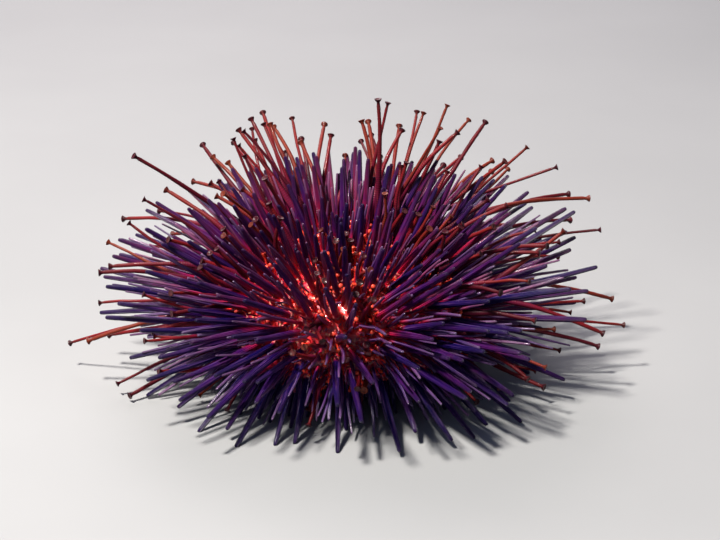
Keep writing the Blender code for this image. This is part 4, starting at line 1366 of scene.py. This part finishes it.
# A pincer: a thread-like stem and a head of three leaf-shaped jaws round its axis.
def pincerSurface(kind):
    random = np.random.default_rng(kind["seed"])
    count = kind["count"]
    stemSides, jawSides = kind["sides"]
    along = random.uniform(*skinEdges, count)
    turn = random.uniform(0.0, fullTurn, count)
    root = rootsAt(along, turn)
    course = coursesAt(along, turn, outlineNormal, kind["lean"] * random.normal(size=(count, 2)))
    length = random.uniform(*kind["length"], count)
    spots = bakePlace(along, turn)
    tint = random.uniform(*kind["tint"], count)
    share = np.array(kind["stemShares"])
    width = np.tile(np.array(kind["stemWidths"]) * kind["stem"], (count, 1))
    centres = root[:, None] + (length[:, None] * share)[..., None] * course[:, None]
    courses = np.repeat(course[:, None], len(share), axis=1)
    parts = [sweepTubes(centres, courses, width, stemSides, spots, tint)]
    top = root + course * length[:, None]
    first = unit(np.cross(course, upward + 0.01))
    second = np.cross(course, first)
    height = (np.array(kind["jawHeights"]) * kind["jawLength"])[:, None]
    spread = (np.array(kind["jawSpreads"]) * kind["head"])[:, None]
    width = np.tile(np.array(kind["jawWidths"]) * kind["head"], (count, 1))
    courses = np.repeat(course[:, None], len(height), axis=1)
    for jaw in range(kind["jaws"]):
        angle = fullTurn * jaw / kind["jaws"]
        way = first * math.cos(angle) + second * math.sin(angle)
        centres = top[:, None] + course[:, None] * height + way[:, None] * spread
        parts.append(sweepTubes(centres, courses, width, jawSides, spots, tint))
    return joinSurfaces(parts)


# pincers: light streaks partly painted highlight on the ridges, and painted shade in the grooves, as on the
# spines
pincerFinish = dict(spineFinish, streakAndSheen=(0.70, 0.20, 0.20), paintedGrooveShade=(0.10, 0.004, 0.04),
                    tip=(0.60, 0.30, 0.30), tipSpan=(0.60, 1.0, 0.0, 0.5), ribDepth=0.03 * mm, index=1.4,
                    hues=[(0.0, (0.20, 0.020, 0.10)), (0.5, (0.42, 0.045, 0.10)), (1.0, (0.62, 0.26, 0.26))])
addPiece("pincers", pincerSurface(pincers), spineMaterial("pincerSkin", pincerFinish))

# the mouth
mouth = {
    "level": test["ambitus"] - test["baseDrop"],
    "toothRadius": 1.7 * mm,
    "toothWidth": 1.5 * mm,
    "toothDepth": 1.0 * mm,
    "toothHeights": [2.0, 1.9, 1.0, 0.0, -0.9, -1.5, -1.86, -1.9],
    "toothLeans": [0.0, 0.0, 0.02, 0.12, 0.32, 0.58, 0.88, 0.92],
    "toothShares": [0.0, 1.0, 1.0, 0.96, 0.84, 0.64, 0.30, 0.0],
    "toothSides": 16,
    "toothTint": 0.4,
    "toothBake": (0.1, 0.9, 0.97),    # from and to across the map, and how far down
    "middle": 0.25 * mm,
    "keelHeight": 0.30 * mm,
    "keelWidth": 0.35 * mm,
    "lipRadius": 6.3 * mm,
    "lipPair": math.radians(26.0),
    "lipLength": 2.4 * mm,
    "lipSplay": 0.6,
    "lipBake": 0.92,
}


# A tooth: flattened rings on a line that leans in towards the axis as it goes down.
def toothSurface():
    turn = firstNarrow + math.pi / sectorCount + fullTurn * np.arange(sectorCount) / sectorCount
    outward, sideways = roundAxis(turn)
    heights = (np.array(mouth["toothHeights"]) * mm)[:, None]
    leans = (np.array(mouth["toothLeans"]) * mm)[:, None]
    root = outward * mouth["toothRadius"] + upward * mouth["level"]
    centres = root[:, None] + upward * heights - outward[:, None] * leans
    courses = np.tile(-upward, (sectorCount, len(heights), 1))
    width = np.tile(np.array(mouth["toothShares"]) * mouth["toothWidth"] / 2, (sectorCount, 1))
    left, right, down = mouth["toothBake"]
    spots = np.stack([np.linspace(left, right, sectorCount), np.full(sectorCount, down)], axis=1)
    tint = np.full(sectorCount, mouth["toothTint"])
    surface = sweepTubes(centres, courses, width, mouth["toothSides"], spots, tint)
    # narrowed from front to back, with a keel on the inner side
    points = surface["points"].reshape(sectorCount, -1, 3)
    middle = (root - outward * mouth["middle"])[:, None]
    depth = ((points - middle) * outward[:, None]).sum(-1, keepdims=True)
    across = ((points - middle) * sideways[:, None]).sum(-1, keepdims=True)
    keel = np.clip(1.0 - np.abs(across) / mouth["keelWidth"], 0.0, 1.0) * (depth < 0)
    narrowed = depth * (1.0 - mouth["toothDepth"] / mouth["toothWidth"]) + mouth["keelHeight"] * keel / 2
    surface["points"] = (points - outward[:, None] * narrowed).reshape(-1, 3)
    return surface


addPiece("teeth", toothSurface(), toothShade, ["peristome"])


# Ten short feet on the lip: straight paths that splay outwards as they go down.
def lipFeetSurface():
    turns = np.concatenate([firstNarrow + side + fullTurn * np.arange(sectorCount) / sectorCount
                            for side in (-mouth["lipPair"] / 2, mouth["lipPair"] / 2)])
    outward, _ = roundAxis(turns)
    root = outward * mouth["lipRadius"] + upward * mouth["level"]
    course = unit(outward * mouth["lipSplay"] - upward)
    share = np.linspace(0.0, 1.0, feet["joints"] + 1)[None, :, None]
    paths = root[:, None] + course[:, None] * mouth["lipLength"] * share
    places = np.stack([np.full(len(turns), wholeAlong * mouth["lipBake"]), turns], axis=1)
    neck = [(-0.85, 0.78), (-0.50, 0.86), (-0.22, 1.30)]
    return footSurface(paths, places, dict(footShape, stem=4, wave=0.0, sink=0.9 * mm, neck=neck), feet)


addPiece("lipFeet", lipFeetSurface(), footShade, ["peristome"])

gills = {
    "tufts": 10,
    "twigs": 14,
    "aside": 0.24,           # of a tuft from the middle of a wide sector, as a turn
    "turnSpread": 0.03,
    "inside": 0.7 * mm,      # from the membrane's edge
    "above": 0.75 * mm,
    "length": (0.9 * mm, 2.2 * mm),
    "radius": 0.16 * mm,
    "spread": 0.9,
    "splay": (0.6, 0.5, -0.2),
    "bend": 0.3,
    "shares": [-0.2, -0.18, 0.1, 0.4, 0.7, 0.92, 1.0],
    "widths": [0.0, 1.2, 1.1, 0.9, 1.05, 0.7, 0.0],
    "tint": (0.0, 0.5),
    "bake": 0.87,
    "sides": 6,
    "seed": 79,
}


# Ten bushy tufts at the membrane's edge: each twig a bent tube from the tuft's middle.
def gillSurface(kind):
    random = np.random.default_rng(kind["seed"])
    tuft = np.arange(kind["tufts"])
    turn = firstNarrow + math.pi / sectorCount + fullTurn * (tuft // 2) / sectorCount \
        + np.where(tuft % 2, kind["aside"], -kind["aside"])
    turn = np.repeat(turn, kind["twigs"])
    count = len(turn)
    turn = turn + kind["turnSpread"] * random.normal(size=count)
    outward, sideways = roundAxis(turn)
    root = outward * (test["membraneRadius"] - kind["inside"]) + upward * (mouth["level"] + kind["above"])
    lean = kind["spread"] * random.normal(size=(count, 2))
    along, out, shift = kind["splay"]
    course = unit(-upward + sideways * lean[:, :1] * along + outward * (lean[:, 1:] * out + shift))
    length = random.uniform(*kind["length"], count)
    aside = squareTo(course, random)
    spots = bakePlace(np.full(count, wholeAlong * kind["bake"]), turn)
    return bentTubes(kind, root, course, aside, length, np.full(count, kind["radius"]), spots, random)


addPiece("gillTufts", gillSurface(gills), footShade)


# floor, light and camera
stageSet = {
    "floorSize": 4.0,
    "floorColour": (0.28, 0.285, 0.29),
    "floorStain": (0.22, 0.225, 0.23),
    "stainSpan": (0.3, 0.7, 0.0, 0.4),
    "stainScale": 9.0,
    "floorRoughness": 0.8,
    "target": (0.0, 0.0, 0.02),
    "key": {"place": (-0.23, -0.19, 0.58), "size": 0.07, "power": 10.5, "colour": (1.0, 0.95, 0.88)},
    "fill": {"place": (-0.40, -0.55, 0.35), "size": 0.60, "power": 0.4, "colour": (0.60, 0.72, 1.0)},
    "back": {"place": (-0.15, 0.60, 0.45), "size": 0.40, "power": 4.0, "colour": (1.0, 0.90, 0.90)},
    "world": (0.54, 0.64, 1.0),
    "worldStrength": 0.22,
}


def addFloor():
    half = stageSet["floorSize"] / 2
    mesh = bpy.data.meshes.new("floor")
    corners = [(-half, -half, 0), (half, -half, 0), (half, half, 0), (-half, half, 0)]
    mesh.from_pydata(corners, [], [(0, 1, 2, 3)])
    material, tree, shader = newTree("paleFloor")
    shade = noise(tree, objectCoordinates(tree), stageSet["stainScale"], 4.0)
    colour = overlay(tree, stageSet["floorColour"], stageSet["floorStain"], shade, stageSet["stainSpan"])
    tree.links.new(colour, shader.inputs["Base Color"])
    shader.inputs["Roughness"].default_value = stageSet["floorRoughness"]
    mesh.materials.append(material)
    floor = bpy.data.objects.new("floor", mesh)
    bpy.context.scene.collection.objects.link(floor)


def addLamp(name):
    values = stageSet[name]
    data = bpy.data.lights.new(name, "AREA")
    data.energy = values["power"]
    data.size = values["size"]
    data.color = values["colour"]
    lamp = bpy.data.objects.new(name, data)
    lamp.location = values["place"]
    towards = Vector(stageSet["target"]) - Vector(values["place"])
    lamp.rotation_euler = towards.to_track_quat("-Z", "Y").to_euler()
    bpy.context.scene.collection.objects.link(lamp)


addFloor()
for lampName in ("key", "fill", "back"):
    addLamp(lampName)
world = bpy.data.worlds.new("softRoom")
world.use_nodes = True
background = world.node_tree.nodes["Background"]
background.inputs["Color"].default_value = (*stageSet["world"], 1.0)
background.inputs["Strength"].default_value = stageSet["worldStrength"]
bpy.context.scene.world = world

view = {
    "elevation": math.radians(21.0),
    "lens": 125.0,
    "sensor": 36.0,
    "distance": 0.52,
    "target": (3.35 * mm, 5.57 * mm, 21.4 * mm),    # from the test's axis at the floor
    "clip": (0.01, 20.0),
}


def addCamera():
    data = bpy.data.cameras.new("viewer")
    data.lens = view["lens"]
    data.sensor_width = view["sensor"]
    data.clip_start, data.clip_end = view["clip"]
    camera = bpy.data.objects.new("viewer", data)
    back = Vector((0.0, -math.cos(view["elevation"]), math.sin(view["elevation"])))
    camera.location = Vector(axisPoint) + Vector(view["target"]) + back * view["distance"]
    camera.rotation_euler = (-back).to_track_quat("-Z", "Y").to_euler()
    bpy.context.scene.collection.objects.link(camera)
    bpy.context.scene.camera = camera
    bpy.context.scene.view_settings.view_transform = "Standard"


addCamera()
print("stage set")
